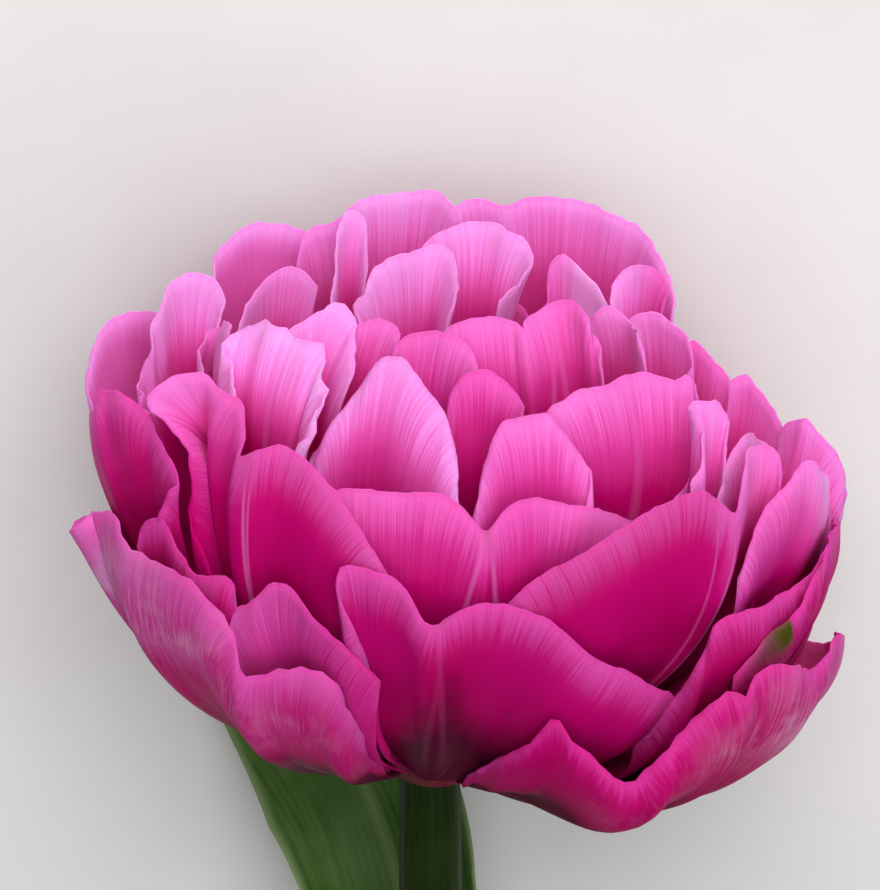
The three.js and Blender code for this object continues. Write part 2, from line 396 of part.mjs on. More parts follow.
// A closed blade of even thickness about a middle surface, cut into the same triangles on both
// faces so that a bent blade never crosses itself.
function bladeSolid(grid, thickness) {
  const columns = grid.length;
  const rows = grid[0].length;
  const normals = gridNormals(grid);
  const positions = [];
  for (const side of [0.5, -0.5]) {
    grid.forEach((line, i) =>
      line.forEach((point, j) => {
        const skin = point.clone().addScaledVector(normals[i][j], side * thickness);
        positions.push(skin.x, skin.y, Math.max(skin.z, 0));
      }),
    );
  }
  const at = (i, j, side) => side * columns * rows + i * rows + j;
  const faces = [];
  for (let i = 0; i + 1 < columns; i += 1) {
    for (let j = 0; j + 1 < rows; j += 1) {
      faces.push(at(i, j, 0), at(i + 1, j, 0), at(i + 1, j + 1, 0));
      faces.push(at(i, j, 0), at(i + 1, j + 1, 0), at(i, j + 1, 0));
      faces.push(at(i, j, 1), at(i + 1, j + 1, 1), at(i + 1, j, 1));
      faces.push(at(i, j, 1), at(i, j + 1, 1), at(i + 1, j + 1, 1));
    }
  }
  const border = [];
  for (let i = 0; i + 1 < columns; i += 1) {
    border.push([i, 0]);
  }
  for (let j = 0; j + 1 < rows; j += 1) {
    border.push([columns - 1, j]);
  }
  for (let i = columns - 1; i > 0; i -= 1) {
    border.push([i, rows - 1]);
  }
  for (let j = rows - 1; j > 0; j -= 1) {
    border.push([0, j]);
  }
  border.forEach(([i, j], k) => {
    const [nextI, nextJ] = border[(k + 1) % border.length];
    faces.push(at(i, j, 0), at(i, j, 1), at(nextI, nextJ, 1));
    faces.push(at(i, j, 0), at(nextI, nextJ, 1), at(nextI, nextJ, 0));
  });
  return closedGeometry(positions, faces);
}

function closedGeometry(positions, faces) {
  const geometry = new THREE.BufferGeometry();
  geometry.setAttribute("position", new THREE.Float32BufferAttribute(positions, 3));
  geometry.setIndex(faces);
  if (enclosedVolume(geometry) < 0) {
    for (let k = 0; k < faces.length; k += 3) {
      [faces[k + 1], faces[k + 2]] = [faces[k + 2], faces[k + 1]];
    }
    geometry.setIndex(faces);
  }
  return geometry;
}

function enclosedVolume(geometry) {
  const position = geometry.getAttribute("position");
  const index = geometry.getIndex();
  const [a, b, c] = [new THREE.Vector3(), new THREE.Vector3(), new THREE.Vector3()];
  let sum = 0;
  for (let k = 0; k < index.count; k += 3) {
    a.fromBufferAttribute(position, index.getX(k));
    b.fromBufferAttribute(position, index.getX(k + 1));
    c.fromBufferAttribute(position, index.getX(k + 2));
    sum += a.dot(b.cross(c)) / 6;
  }
  return sum;
}

function toSolid(geometry) {
  const bare = geometry.clone();
  bare.deleteAttribute("normal");
  bare.deleteAttribute("uv");
  const merged = mergeVertices(bare, WELD);
  return new wasm.Manifold(
    new wasm.Mesh({
      numProp: 3,
      vertProperties: new Float32Array(merged.getAttribute("position").array),
      triVerts: new Uint32Array(merged.getIndex().array),
    }),
  );
}

// The largest body alone, so that a loose scrap is dropped and a sealed hollow is filled.
function toGeometry(solid) {
  const bodies = solid.decompose().sort((a, b) => b.volume() - a.volume());
  const mesh = bodies[0].getMesh();
  const geometry = new THREE.BufferGeometry();
  geometry.setAttribute("position", new THREE.Float32BufferAttribute(mesh.vertProperties, 3));
  geometry.setIndex(Array.from(mesh.triVerts));
  return geometry;
}

// The heart that every petal grows from: a dome on the flower's axis, low enough to stay hidden.
// Each pair is a distance from the axis and a height on it.
const HEART_OUTLINE = [
  [0, 0.9], [4.2, 0.9], [6.4, 2.4], [8.4, 5.5], [10.4, 10], [12, 16], [12.6, 24], [10.5, 32],
  [5.5, 37], [0, 38.5],
];

function heartGeometry() {
  const outline = HEART_OUTLINE.map(([out, up]) => new THREE.Vector2(out, up));
  const lathe = new THREE.LatheGeometry(outline, HEART_SIDES);
  lathe.rotateX(Math.PI / 2);
  lathe.applyMatrix4(BLOOM_TURN);
  lathe.translate(BLOOM_BASE.x, BLOOM_BASE.y, BLOOM_BASE.z);
  return lathe;
}

function rimLength(petal) {
  const points = petal.edge ? petal.edge.map(sightPoint) : hiddenRim(petal);
  return new THREE.CatmullRomCurve3(points, false, "centripetal").getLength();
}

function bloomGeometry() {
  let bloom = toSolid(heartGeometry());
  for (const petal of [...FRONT_PETALS, ...HIDDEN_PETALS]) {
    const wanted = Math.round(rimLength(petal) / (petal.edge ? COLUMN_WIDTH : HIDDEN_COLUMN_WIDTH));
    const columns = THREE.MathUtils.clamp(wanted, MIN_COLUMNS, MAX_COLUMNS);
    const blade = bladeSolid(petalSurface(petal, columns, PETAL_ROWS), PETAL_THICKNESS);
    bloom = bloom.add(toSolid(blade));
  }
  return toGeometry(bloom);
}

// The stem's centre line from the heart to its cut end, from the bloom's base, and its radius.
const STEM_LINE = [
  [-0.05, 0.35, 0.07], [0, -12, -2.5], [0, -30, -6.2], [-0.4, -60, -12.6], [-1.2, -100, -20.4],
  [-0.6, -140, -26.4], [1.8, -175, -30.6], [4.6, -203, -32.2],
];

function stemGeometry() {
  const points = STEM_LINE.map(([x, y, z]) => new THREE.Vector3(x, y, z).add(BLOOM_BASE));
  const line = new THREE.CatmullRomCurve3(points, false, "centripetal");
  const positions = [];
  const faces = [];
  for (let i = 0; i <= STEM_STEPS; i += 1) {
    const share = i / STEM_STEPS;
    const centre = line.getPointAt(share);
    const tangent = line.getTangentAt(share);
    const side = new THREE.Vector3(1, 0, 0).addScaledVector(tangent, -tangent.x).normalize();
    const up = side.clone().cross(tangent);
    const neck = Math.exp(-((share / STEM_NECK) ** 2));
    const radius = STEM_RADIUS + STEM_FLARE * (share - neck);
    for (let k = 0; k < STEM_SIDES; k += 1) {
      const angle = (2 * Math.PI * k) / STEM_SIDES;
      const skin = centre
        .clone()
        .addScaledVector(side, radius * Math.cos(angle))
        .addScaledVector(up, radius * Math.sin(angle));
      positions.push(skin.x, skin.y, Math.max(skin.z, 0));
    }
  }
  const ring = (i, k) => i * STEM_SIDES + (k % STEM_SIDES);
  for (let i = 0; i < STEM_STEPS; i += 1) {
    for (let k = 0; k < STEM_SIDES; k += 1) {
      faces.push(ring(i, k), ring(i + 1, k), ring(i + 1, k + 1));
      faces.push(ring(i, k), ring(i + 1, k + 1), ring(i, k + 1));
    }
  }
  for (let k = 1; k + 1 < STEM_SIDES; k += 1) {
    faces.push(ring(0, 0), ring(0, k), ring(0, k + 1));
    faces.push(ring(STEM_STEPS, 0), ring(STEM_STEPS, k + 1), ring(STEM_STEPS, k));
  }
  return closedGeometry(positions, faces);
}

// A leaf's middle surface: its section is an arc, rolled round the stem at the foot and opening
// towards the tip, with margins that wave.
function leafSurface(leaf) {
  const points = leaf.spine.map(([x, y, z]) => new THREE.Vector3(x, y, z).add(BLOOM_BASE));
  const spine = new THREE.CatmullRomCurve3(points, false, "centripetal");
  const surface = [];
  for (let i = 0; i <= LEAF_ACROSS; i += 1) {
    surface.push([]);
  }
  for (let j = 0; j <= LEAF_ALONG; j += 1) {
    const share = j / LEAF_ALONG;
    const t = spine.getUtoTmapping(share);
    const centre = spine.getPoint(t);
    const tangent = spine.getTangent(t);
    const hollow = new THREE.Vector3(...leaf.hollow[0]).lerp(new THREE.Vector3(...leaf.hollow[1]), share);
    hollow.addScaledVector(tangent, -hollow.dot(tangent)).normalize();
    const side = tangent.clone().cross(hollow);
    const narrowed = Math.sqrt(1 - (1 - Math.min(share / LEAF_FOOT, 1)) ** 2);
    const half = along(leaf.half, t) * (LEAF_FOOT_WIDTH + (1 - LEAF_FOOT_WIDTH) * narrowed);
    const roll = along(leaf.roll, t);
    for (let i = 0; i <= LEAF_ACROSS; i += 1) {
      const across = -1 + (2 * i) / LEAF_ACROSS;
      const angle = (across * half) / roll;
      const swell = leaf.wave * Math.abs(across) ** 3 * Math.sqrt(Math.sin(Math.PI * share));
      const lift = swell * Math.sin(2 * Math.PI * leaf.waves * share + Math.sign(across) * LEAF_WAVE_SHIFT);
      const point = centre
        .clone()
        .addScaledVector(side, roll * Math.sin(angle))
        .addScaledVector(hollow, roll * (1 - Math.cos(angle)) + lift);
      surface[i].push(pressed(point, LEAF_THICKNESS / 2));
    }
  }
  return surface;
}

function part(name, geometry, colour, roughness) {
  geometry.computeVertexNormals();
  const material = new THREE.MeshStandardMaterial({ color: colour, roughness, metalness: 0 });
  const mesh = new THREE.Mesh(geometry, material);
  mesh.name = name;
  return mesh;
}

const group = new THREE.Group();
group.add(part("bloom", bloomGeometry(), 0xd8409a, 0.55));
group.add(part("stem", stemGeometry(), 0x4a6b2c, 0.5));
for (const leaf of LEAVES) {
  group.add(part(leaf.name, bladeSolid(leafSurface(leaf), LEAF_THICKNESS), leaf.colour, 0.5));
}

export default group;
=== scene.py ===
"""A cut double late tulip lying on a pale floor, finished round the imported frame.

The lists are in millimetres, in the flower's own frame or from the bloom's base. Every mesh is
made in metres in the part's frame, with the floor at z = 0 and the stem along Y.
"""
import math

import bpy
import numpy as np
from mathutils import Matrix, Vector


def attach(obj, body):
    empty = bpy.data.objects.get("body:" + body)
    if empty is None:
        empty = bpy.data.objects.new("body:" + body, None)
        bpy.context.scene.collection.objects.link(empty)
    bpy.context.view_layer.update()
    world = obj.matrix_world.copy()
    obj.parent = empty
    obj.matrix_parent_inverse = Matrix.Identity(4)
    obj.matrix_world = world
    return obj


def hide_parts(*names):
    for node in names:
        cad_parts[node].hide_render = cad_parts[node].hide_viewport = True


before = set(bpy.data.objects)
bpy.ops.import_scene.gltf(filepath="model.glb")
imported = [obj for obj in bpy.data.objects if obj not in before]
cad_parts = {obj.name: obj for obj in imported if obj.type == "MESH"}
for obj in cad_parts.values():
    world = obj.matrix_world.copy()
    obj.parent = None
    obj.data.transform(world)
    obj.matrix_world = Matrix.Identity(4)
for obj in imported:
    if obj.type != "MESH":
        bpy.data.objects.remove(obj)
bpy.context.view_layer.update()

MM = 0.001
# The lowest that any point may be above the floor
FLOOR_GAP = 0.02

# Bloom: where it sits and how it is tipped
BLOOM_BASE = np.array([-4.6, 63.5, 36.9])
BLOOM_TILT = math.radians(11)
BLOOM_LEAN = math.radians(4.5)

# The photograph: how steeply it looks down on the bloom, from how far and at what point of it, its
# width in pixels, and how many of them a millimetre at the bloom takes
SIGHT_RISE = math.radians(25)
SIGHT_DISTANCE = 900
SIGHT_AIM = (-2.2, 45.1)
PHOTO_WIDTH = 880
PHOTO_SCALE = 7.38
SENSOR_WIDTH = 36

# Petal ribs: their feet round the receptacle, how they fan out, and how far they keep the
# directions that they rise and arrive in
FOOT_RADIUS = 6.2
FOOT_HEIGHT = 2.7
FOOT_STEP_IN = 0.85
FOOT_STEP_UP = 1.3
FOOT_FAN = 0.45
RIM_TURN = 0.8
FANNING = 0.8
MAX_SPREAD = math.radians(75)
FOOT_PULL = 0.4
RIM_PULL = 0.35

# What reaches the floor lies down on it, each whorl above the last.
PRESS_SOFTNESS = 1.6
PETAL_LEVEL = 0.4
LAYER_RISE = 1.1
LEAF_LEVEL = 0.5

# Petal blades: thick at the foot, thin at the rim, on fine grids
FOOT_THICKNESS = 0.95
RIM_THICKNESS = 0.34
COLUMN_STEP = 0.85
MIN_COLUMNS = 18
MAX_COLUMNS = 88
PETAL_ROWS = 38
CURVE_STEPS = 24
PETAL_SEED = 1000


def table(fields, rows):
    """A dictionary for each row, by the names of the fields."""
    return [dict(zip(fields.split(), row)) for row in rows]


# Petals seen in the photograph: the whorl, the way that the petal faces round the axis, the angle
# that its ribs rise at, the angle that they arrive at, and its edge. Each point of an edge is where
# it is seen from the camera, across and up from the bloom's base, then how far it is from the
# flower's axis, with a minus sign on the far side, and the angle of its own rib if that differs.
# PLAIN_LOOK below explains the look.
FRONT_PETALS = table("name whorl facing rise arrive edge look", [
    ("lower_left", 0, -62, [12, 17, 21, 24], 94,
     [(-46.5, 31.2, -50, 75), (-49.6, 31.4, 51.5, 65), (-51.3, 29.5, 52.6, 62), (-50.2, 31, 51, 70),
      (-47, 32.3, 49.5, 85), (-45.3, 31.4, 49), (-43.7, 28.5, 48.5), (-41, 26.7, 48), (-38.4, 25.4, 47.5),
      (-34.8, 24.2, 46.5), (-32.3, 22.1, 45.5), (-30.4, 20, 45), (-28.4, 17.1, 44.5), (-27.1, 14, 44),
      (-26.2, 11.4, 43.5), (-21.8, 12.8, 42), (-19.1, 13, 41.5), (-14.9, 12.8, 40.5), (-12.9, 10.7, 39.5),
      (-11, 7.4, 36, 80), (-8.5, 4.1, 29, 60), (-6.5, 1.8, 17, 35)],
     dict(fair=[0.5, 1.2, 1.2, 0.6, 0.4, 0.35, 0.35, 0.3, 0.25, 0.2, 0.15],
          deep=[0, 0, 0.02, 0.1, 0.18, 0.2], green=(0.15, 0.95, 0.3), mottle=[1.5, 1.6, 1.3, 0.6, 0.2, 0],
          sheer=([0.5, 0.6, 0.5, 0.15, 0, 0], 13), frost=[0.5, 0.5, 0.4, 0.2, 0.1], crimp=(4.5, 0.22, 6),
          curl=(0.3, 6), jag=0.3)),
    ("lower_right", 0, 52, [24, 26, 35, 20, -4, 12, 17, 18, 16], 100,
     [(5, 0.6, 18, 35), (8.5, 3, 30, 60), (13.3, 5.9, 37, 80), (15, 8.2, 38.5), (16.3, 9, 39.5),
      (18.3, 7, 41), (21.8, 4.3, 43.5), (26, 1.1, 46), (28.5, 2.4, 47), (30.1, 4.3, 47.5, 108),
      (33.4, 8.5, 48.5, 114), (36, 11.6, 49.5, 112), (38.6, 14.2, 50.5, 110), (40.4, 14.7, 51.2, 106),
      (41.9, 14.2, 51.8, 102), (42.7, 16.4, 52, 100), (45, 18.5, 52.8, 98), (47.5, 19, 53.5, 97),
      (49.6, 18.7, 54, 96), (51.3, 18.6, 54.4, 96), (52.3, 20.6, 54.8, 95), (53.5, 23.1, 55, 94),
      (51.7, 22.3, -54, 95), (46.6, 22.6, -52, 95)],
     dict(fair=[0, 0, 0, 0, 0.08, 0.22, 0.25], deep=[0.18, 0.2, 0.18, 0.14, 0.07, 0],
          green=(0.1, 0.95, 0.3), mottle=[0, 0, 0.2, 1.2, 2.0, 1.8],
          sheer=([0, 0, 0, 0.15, 0.45, 0.45], 10), frost=[0, 0, 0.05, 0.2, 0.4, 0.5], crimp=(5, 0.25, 6),
          curl=(0.3, 6), jag=[0.22, 0.22, 0.22, 0.22, 0.15, 0.04])),
    ("front_heart", 0.4, 4, 31, 86,
     [(-8.2, 10, 28), (-9.2, 13.8, 33), (-11.5, 18.1, 36.5), (-13.6, 22, 38.5), (-14.5, 25.5, 39),
      (-14, 27.4, 38.5), (-11.5, 27.2, 38), (-7.6, 26.3, 38), (-4.8, 24.2, 38.5), (-2.7, 20.9, 39.5),
      (-0.6, 20.1, 40), (1.4, 21.7, 39.5), (3.5, 23.2, 39), (6.8, 24, 38.5), (11.5, 23.2, 38.5),
      (16.4, 21, 39.5), (21.9, 17.1, 41), (25.5, 16.3, 41.5), (29.3, 14.5, 42), (32, 13.5, 42, 75),
      (32.5, 12.1, 41.5, 60), (31.8, 9.8, 40.5, 50), (26.2, 7.2, 37, 40), (21, 5, 31, 35)],
     dict(fair=[0.35, 0.3, 0.16, 0.24, 0.16], light=[0.22, 0.25, 0.25, 0.2, 0.2],
          deep=[0, 0, 0.03, 0.08, 0.04], middles=[((0.3, 20.6), 4.0, 0.17)],
          ribs=[((-0.2, 20.3), 4, 0.4, 0.12), ((0.9, 21.2), -5, 0.35, 0.1)], frost=0.22)),
    ("small_left", 0.6, -40, 30, 84,
     [(-26.5, 11, 41), (-28.6, 17.5, 41.8), (-28, 20.6, 41.3), (-26.3, 21.6, 40.8), (-22.7, 24.7, 39.5),
      (-17.2, 20.1, 39), (-12.5, 16.3, 38.5), (-7.8, 12.5, 36)],
     dict(fair=[0.8, 0.8, 0.7, 0.45, 0.3], light=0.06, deep=[-0.3, -0.3, -0.2, -0.1], frost=0.2,
          crimp=(9, 0.03, 6), curl=(0.15, 5), jag=0.16)),
    ("left_outer", 0.6, -82, 30, 80,
     [(-42, 28, -44), (-45.8, 34.2, -47.5), (-48.2, 41, -49.5), (-49.8, 46.9, 50.2), (-48.4, 48.3, 49),
      (-45.8, 48.2, 47.5), (-43.4, 45.9, 46), (-41.6, 43.3, 45), (-38, 37.8, 44), (-38.5, 34.8, 44),
      (-39.6, 31.8, 44.5), (-38, 26, 43.5)],
     dict(fair=[0.8, 0.8, 0.6, 0.4, 0.3, 0.2], mottle=0.05, curl=(0.9, 8))),
    ("left_sliver", 0.7, -55, 27, 84,
     [(-42, 28, 46.5), (-41.6, 31, 46.2), (-39.7, 31.8, 45.5), (-36.6, 27.6, 44.8), (-33.9, 24.7, 44),
      (-30.1, 24.7, 42.8), (-28.5, 23.3, 42), (-27, 18, 40)],
     dict(fair=0.1, frost=0.2)),
    ("left_heart", 1, -45, 28, 98,
     [(-31, 24, 40.5, 90), (-33.1, 28.9, 41.5, 90), (-34.8, 32.6, 42, 85), (-35.2, 38.1, 42, 75),
      (-35.2, 41.4, 41.5, 55), (-38.6, 44.9, 43.5, 35), (-42.1, 48.2, 46, 25), (-37.7, 51.3, 42, 55),
      (-34.9, 52, 39.5, 80), (-32.8, 50.3, 38.5), (-29.7, 48.1, 38), (-29.4, 44.3, 38.5),
      (-29.6, 41.2, 39.5), (-27, 42.2, 38.5), (-24.2, 43, 37), (-20.2, 41.2, 36), (-16.2, 37.7, 35.5),
      (-11.1, 30.9, 36), (-7.7, 26.6, 35.5), (-7, 22, 34)],
     dict(fair=[0.1, 0.15, 0.7, 0.95, 0.5, 0.25, 0.22, 0.2, 0.15],
          light=[0, 0, 0.15, 0.25, 0.25, 0.25, 0.25, 0.25, 0.25],
          ribs=[((-28.2, 41.8), 0, 0.22, 0.9), ((-26.6, 42.2), -2, 0.18, 0.65)],
          frost=[0, 0, 0.05, 0.2, 0.15, 0.4, 0.55, 0.55, 0.4])),
    ("centre_heart", 1.4, 8, 36, 104,
     [(-19, 33, 33), (-16.5, 37.4, 32.3), (-13.5, 38, 32), (-7.2, 38, 31.5), (-1.9, 38.3, 31.5),
      (1.2, 36.8, 32), (3.4, 34.9, 32.5), (4.8, 33.7, 33), (6, 34.6, 32.5), (7.9, 37.2, 31.5),
      (11.1, 38.7, 31), (15.5, 38.3, 31), (20.3, 37.9, 31.5), (25, 36.5, 32), (28.5, 33.5, 32.5)],
     dict(fair=0.5, middles=[((4.9, 34), 2.5, 0.05)],
          ribs=[((4.9, 34), -13, 0.34, 0.9), ((4.9, 34), 13, 0.4, 0.9)], frost=0.1)),
    ("right_heart", 1, 52, 30, 97,
     [(8.6, 24.1, 36), (11.2, 27.1, 36.5), (15.3, 29.7, 37), (21.2, 34, 38), (24.7, 36.5, 38.5),
      (28.5, 39.1, 39.5), (31.6, 41, 40.5), (33.7, 41.5, 41.5), (36.4, 40.1, 43.2), (38.7, 38.8, 44.6),
      (39.2, 43, 43.5), (39.6, 47, 42.5), (41.9, 48.3, 43), (43.6, 47.6, 44.3), (44.1, 45.5, 45),
      (43.8, 40, 45), (42, 33, 44.3)],
     dict(fair=[0.14, 0.14, 0.14, 0.16, 0.3, 0.85, 0.85, 0.6, 0.1], light=[0.2, 0.2, 0.22, 0.25],
          ribs=[((38.7, 38.8), 0, 0.24, 0.85), ((36.2, 40.2), 4, 0.17, 0.5)],
          frost=[0.4, 0.5, 0.55, 0.55, 0.3, 0.1, 0], crimp=(6, 0.04, 6), curl=(0.3, 5))),
    ("right_blade", 0.8, 72, 26, 92,
     [(39.5, 30, 44.6), (41, 34.5, 45.6), (43, 39, 46.5), (44.8, 41.9, 47.2), (47.3, 45.8, 48.4),
      (48.8, 46.5, 49.3), (50.2, 45.7, 50.3), (51, 42, -51.2), (51.2, 38, -51.4)],
     dict(fair=[0.5, 0.6, 0.9, 1.1, 1.0, 0.8], curl=(0.9, 9))),
    ("right_fold", 0.5, 72, 22, 96,
     [(27, 8, 37), (30.4, 11, 40.2), (33, 14.5, 42.6), (35.2, 19, 44.6), (37, 23.4, 46.2),
      (39.8, 25.1, 47.4), (44, 27, 48.6), (47.4, 29.3, 49.8), (50, 32.3, 51), (51.6, 35.6, 51.8),
      (52.4, 38.9, -52.5), (51.8, 36, -52.6)],
     dict(fair=0.05, deep=0.05, frost=0.2)),
    ("right_back", 0.8, 94, 26, 90,
     [(43, 47, -45), (43.9, 51.3, -45.5), (45.6, 52.1, -46.5), (47.1, 52.4, -47.5), (48.5, 51, -49),
      (51.4, 48.1, -51.6), (52.7, 45.9, -53), (53.1, 43.7, -53.5), (52.5, 39.5, -53), (50.5, 36, -51.5)],
     dict(fair=0.95, curl=(0.2, 5), jag=0.03)),
    ("right_streaked", 0.25, 84, 19, 90,
     [(40, 17, 47.5), (43.6, 21.5, 49.2), (47.4, 26, 50.8), (49.6, 30, 51.8), (51, 33.2, 52.3),
      (51.6, 34.6, -52.5), (51, 31.5, -52.6), (50.2, 27.8, -52), (48.4, 24.6, -51)],
     dict(fair=[0.1, 0.1, 0.12, 0.25, 0.35, 0.4], green=([0, 1.2, 2.8, 1.2, 0, 0, 0], 0.89, 0.96),
          mottle=0.4, curl=(0.2, 5), jag=0.04)),
    ("right_inner", 1.3, 76, 31, 94,
     [(36, 40, 39.5), (37, 45, 39.3), (38.3, 48.5, 39.6), (39.5, 49.4, 40.2), (41, 49, -41.5),
      (42.5, 48, -43), (43.5, 45, -44)],
     dict(fair=0.95)),
    ("pointed", 2.4, -18, 48, 118,
     [(-21.5, 37, 26.5), (-20, 41.2, 26), (-17.5, 46.3, 24), (-14.5, 51.1, 21.3), (-12.3, 54.6, 19.3),
      (-11.1, 56.1, 18.4), (-9.6, 56.5, 18), (-8.2, 56.3, 17.8), (-6.8, 54.8, 18.5), (-4.8, 52.5, 19.5),
      (-2.1, 49.6, 20.5), (-0.4, 45.2, 22.5), (0.8, 37.9, 26), (2.3, 34, 27.5)],
     dict(fair=1.05, deep=-0.3, crimp=(5, 0.14, 5))),
    ("rounded", 2.4, 28, 44, 117,
     [(2.5, 34, 27.5), (3.4, 38.1, 26.5), (4.2, 43.5, 24.5), (6, 48.6, 22.8), (9.4, 49.8, 22.8),
      (11.9, 50.4, 23.2), (13.8, 48.9, 24.2), (15.9, 46.5, 25.7), (17.6, 44.1, 27.2), (18.2, 39.8, 29),
      (17.9, 36, 30)],
     dict(fair=0.7)),
    ("curled", 3.2, 8, 62, 110,
     [(-1.5, 44, 17), (-1.9, 49.9, 16), (-0.7, 53.5, 15), (1, 55.1, 14.5), (3.5, 55.6, 14.5),
      (6.2, 54, 15.5), (7.9, 51.7, 17), (7.6, 48, 18.5), (6.5, 43, 19.5)],
     dict(fair=0.42, ribs=[((-0.7, 53.5), 0, 0.4, 0.4)])),
    ("broad_right", 2.3, 52, [54, 46, 40], 116,
     [(12.5, 43, 22.5), (11.9, 50.5, 20.3), (14, 52.2, 20.8), (16.4, 54, 21.5), (19, 54.5, 23.2),
      (22.3, 56.4, 25.3), (24.9, 56.9, 27.3), (29, 56.2, 30.6), (30.8, 57.1, 31.8), (31.7, 53.6, 33, 105),
      (31.9, 47.4, 33.8, 100), (31.2, 41.9, 34, 98), (28, 38, 33)],
     dict(fair=0.72, deep=-0.05, ribs=[((22.3, 56.4), 0, 0.5, 0.4)])),
    ("crown_heart", 3.4, 60, 62, 107,
     [(-4.2, 58.8, 9), (-3.3, 59.8, 8.5), (-1.3, 61.5, 7.5), (2.5, 62.7, 7), (5.5, 62.6, 8),
      (8.2, 61.4, 11), (8.6, 62.8, 10.5), (10.2, 64.3, 11), (12.5, 65.7, 12.7), (14, 65.8, 14.2),
      (16.1, 63.7, 17), (17.6, 60.8, 18.5), (18.9, 55.4, 20.5)],
     dict(fair=0.68, ribs=[((11.5, 64), -6, 0.35, 0.7), ((11.5, 64), 5, 0.35, 0.6)], crimp=(6, 0.2, 3))),
    ("crown_right", 3, 80, 56, 104,
     [(16, 61, -17.5), (17.4, 64.4, -18.5), (19.4, 65.5, -20.3), (21.8, 63.7, -22.3), (23.5, 61.2, 24),
      (24.5, 58.5, 25.4), (24.8, 54, 26)],
     dict(fair=0.9, curl=(0.2, 5), jag=0.03)),
    ("crown_edge", 2.6, 94, 46, 105,
     [(21.5, 60, -25), (22.2, 63.7, -26.5), (25.3, 65.1, -28.8), (27.6, 63.7, -30), (29.7, 61.7, -31),
      (30.6, 58.3, -31.5), (31.3, 54, -32.5)],
     dict(fair=0.9)),
    ("back_right", 2.2, 150, 36, 99,
     [(-3.5, 74, -34), (-2.1, 77.2, -34.5), (0.7, 78.1, -34.5), (3.7, 77.6, -34), (7.9, 79, -35.5),
      (11.4, 79.1, -36), (15.6, 78.6, -36.5), (20, 77, -36.5), (22.3, 75.4, -36), (24.4, 73, -35.5),
      (26, 70.3, -35), (27, 67.8, -34.5), (26.8, 65.2, -33.5), (27, 60, -33)],
     dict(fair=1.08, sheer=(0.3, 60), curl=(1.0, 9), jag=0.16)),
    ("back_strip", 2.7, 148, 45, 96,
     [(10.9, 64, -27.5), (10.8, 68, -29), (11.4, 71.4, -30), (12.2, 71.9, -30.2), (13.4, 71.2, -30),
      (15.6, 69.4, -29.5), (17.6, 67.5, -29), (18.9, 65.4, -28.5), (19, 63, -28)],
     dict(fair=[0.5, 0.6, 0.9, 1.35, 1.35, 1.3], curl=(0.3, 5))),
    ("back_knob", 2.6, 130, 44, 96,
     [(20.7, 63, -27.5), (20.5, 68.2, -29.5), (21.2, 70.4, -30.3), (22.9, 71.1, -31), (24.6, 70.6, -31.5),
      (25.7, 69, -31.5), (26, 66, -31)],
     dict(fair=[0.9, 1.2, 1.1, 0.6, 0.35], curl=(1.0, 7))),
    ("back_top", 2.4, 200, 36, 99,
     [(-23, 68, -35), (-22, 71.9, -35.5), (-17.9, 73.6, -34.5), (-15.4, 76.3, -34.8),
      (-12.8, 77.7, -34.8), (-8.6, 78.2, -34), (-5.1, 78.4, -33), (-2.9, 76.6, -31.5), (-1.5, 73, -30)],
     dict(fair=[0.9, 1.0, 1.2, 1.2, 1.1, 1.0], sheer=(0.15, 60), crimp=(12, 0.5, 3), curl=(1.2, 11))),
    ("top_fold", 2.8, 200, 46, 97,
     [(-18, 62, -26), (-17.8, 69, -28.5), (-17.5, 73.4, -30.4), (-16.7, 75.6, -31.2), (-15.6, 75.4, -31),
      (-14.7, 72.6, -30), (-14.3, 66, -27.5)],
     dict(fair=1.2)),
    ("crest_left", 3.2, 200, 60, 90,
     [(-14, 60, -16.5), (-12.5, 65.3, -17), (-11.3, 67.9, -17), (-7.3, 70.4, -16), (-4.9, 71.2, -15.5),
      (-3.5, 68, -13), (-3, 63, -10)],
     dict(fair=1.12, crimp=(7, 0.5, 3), curl=(1.9, 12), jag=0.2)),
    ("crest_right", 3.1, 180, 58, 95,
     [(-5, 68, -18), (-4.3, 72.2, -19.5), (-2.3, 73.6, -20), (0.9, 74.4, -20.5), (3.5, 74.2, -20),
      (5.4, 73, -19.5), (6, 70.5, -18.5), (4.7, 67.8, -16.5), (3.6, 65.3, -14)],
     dict(fair=1.08, crimp=(7, 0.4, 3), curl=(2.2, 12))),
    ("back_left", 1.6, 215, 31, 94,
     [(-35, 60, -41), (-34, 65.4, -43), (-32.9, 69, -44), (-30.9, 71.9, -44), (-29, 72.7, -43.5),
      (-25.8, 72.7, -42), (-22.4, 71.9, -40), (-19, 70, -38.5)],
     dict(fair=1.1, sheer=(0.8, 60), crimp=(11, 0.4, 3), curl=(0.9, 9))),
    ("back_fold", 2.4, 232, 42, 100,
     [(-30.5, 55, -31), (-29.9, 58.8, -31), (-28.8, 62, -31.5), (-26.6, 65.3, -32), (-25.1, 66.8, -31.5),
      (-22.9, 67, -30), (-20.5, 65, -28)],
     dict(fair=1.0, curl=(0.8, 8))),
    ("left_roll", 1.2, -90, 32, 94,
     [(-41.8, 46, 42), (-42.1, 50.8, -42.3), (-41.5, 56.3, -42.2), (-40.2, 61.5, -42),
      (-38.8, 64.4, -41.8), (-36.7, 65.3, -40.5), (-34.6, 65, -39), (-34.4, 60, -37.5),
      (-34.8, 54, -36.5)],
     dict(fair=[0.5, 0.6, 0.9, 1.2, 1.2, 1.0], crimp=(8, 0.35, 3), curl=(1.0, 9))),
    ("left_back", 0.8, -115, 28, 86,
     [(-48.6, 45, -49.4), (-50.2, 49.6, -51), (-49.5, 55.2, -51), (-46.9, 58.8, -50), (-44.5, 59.7, -49),
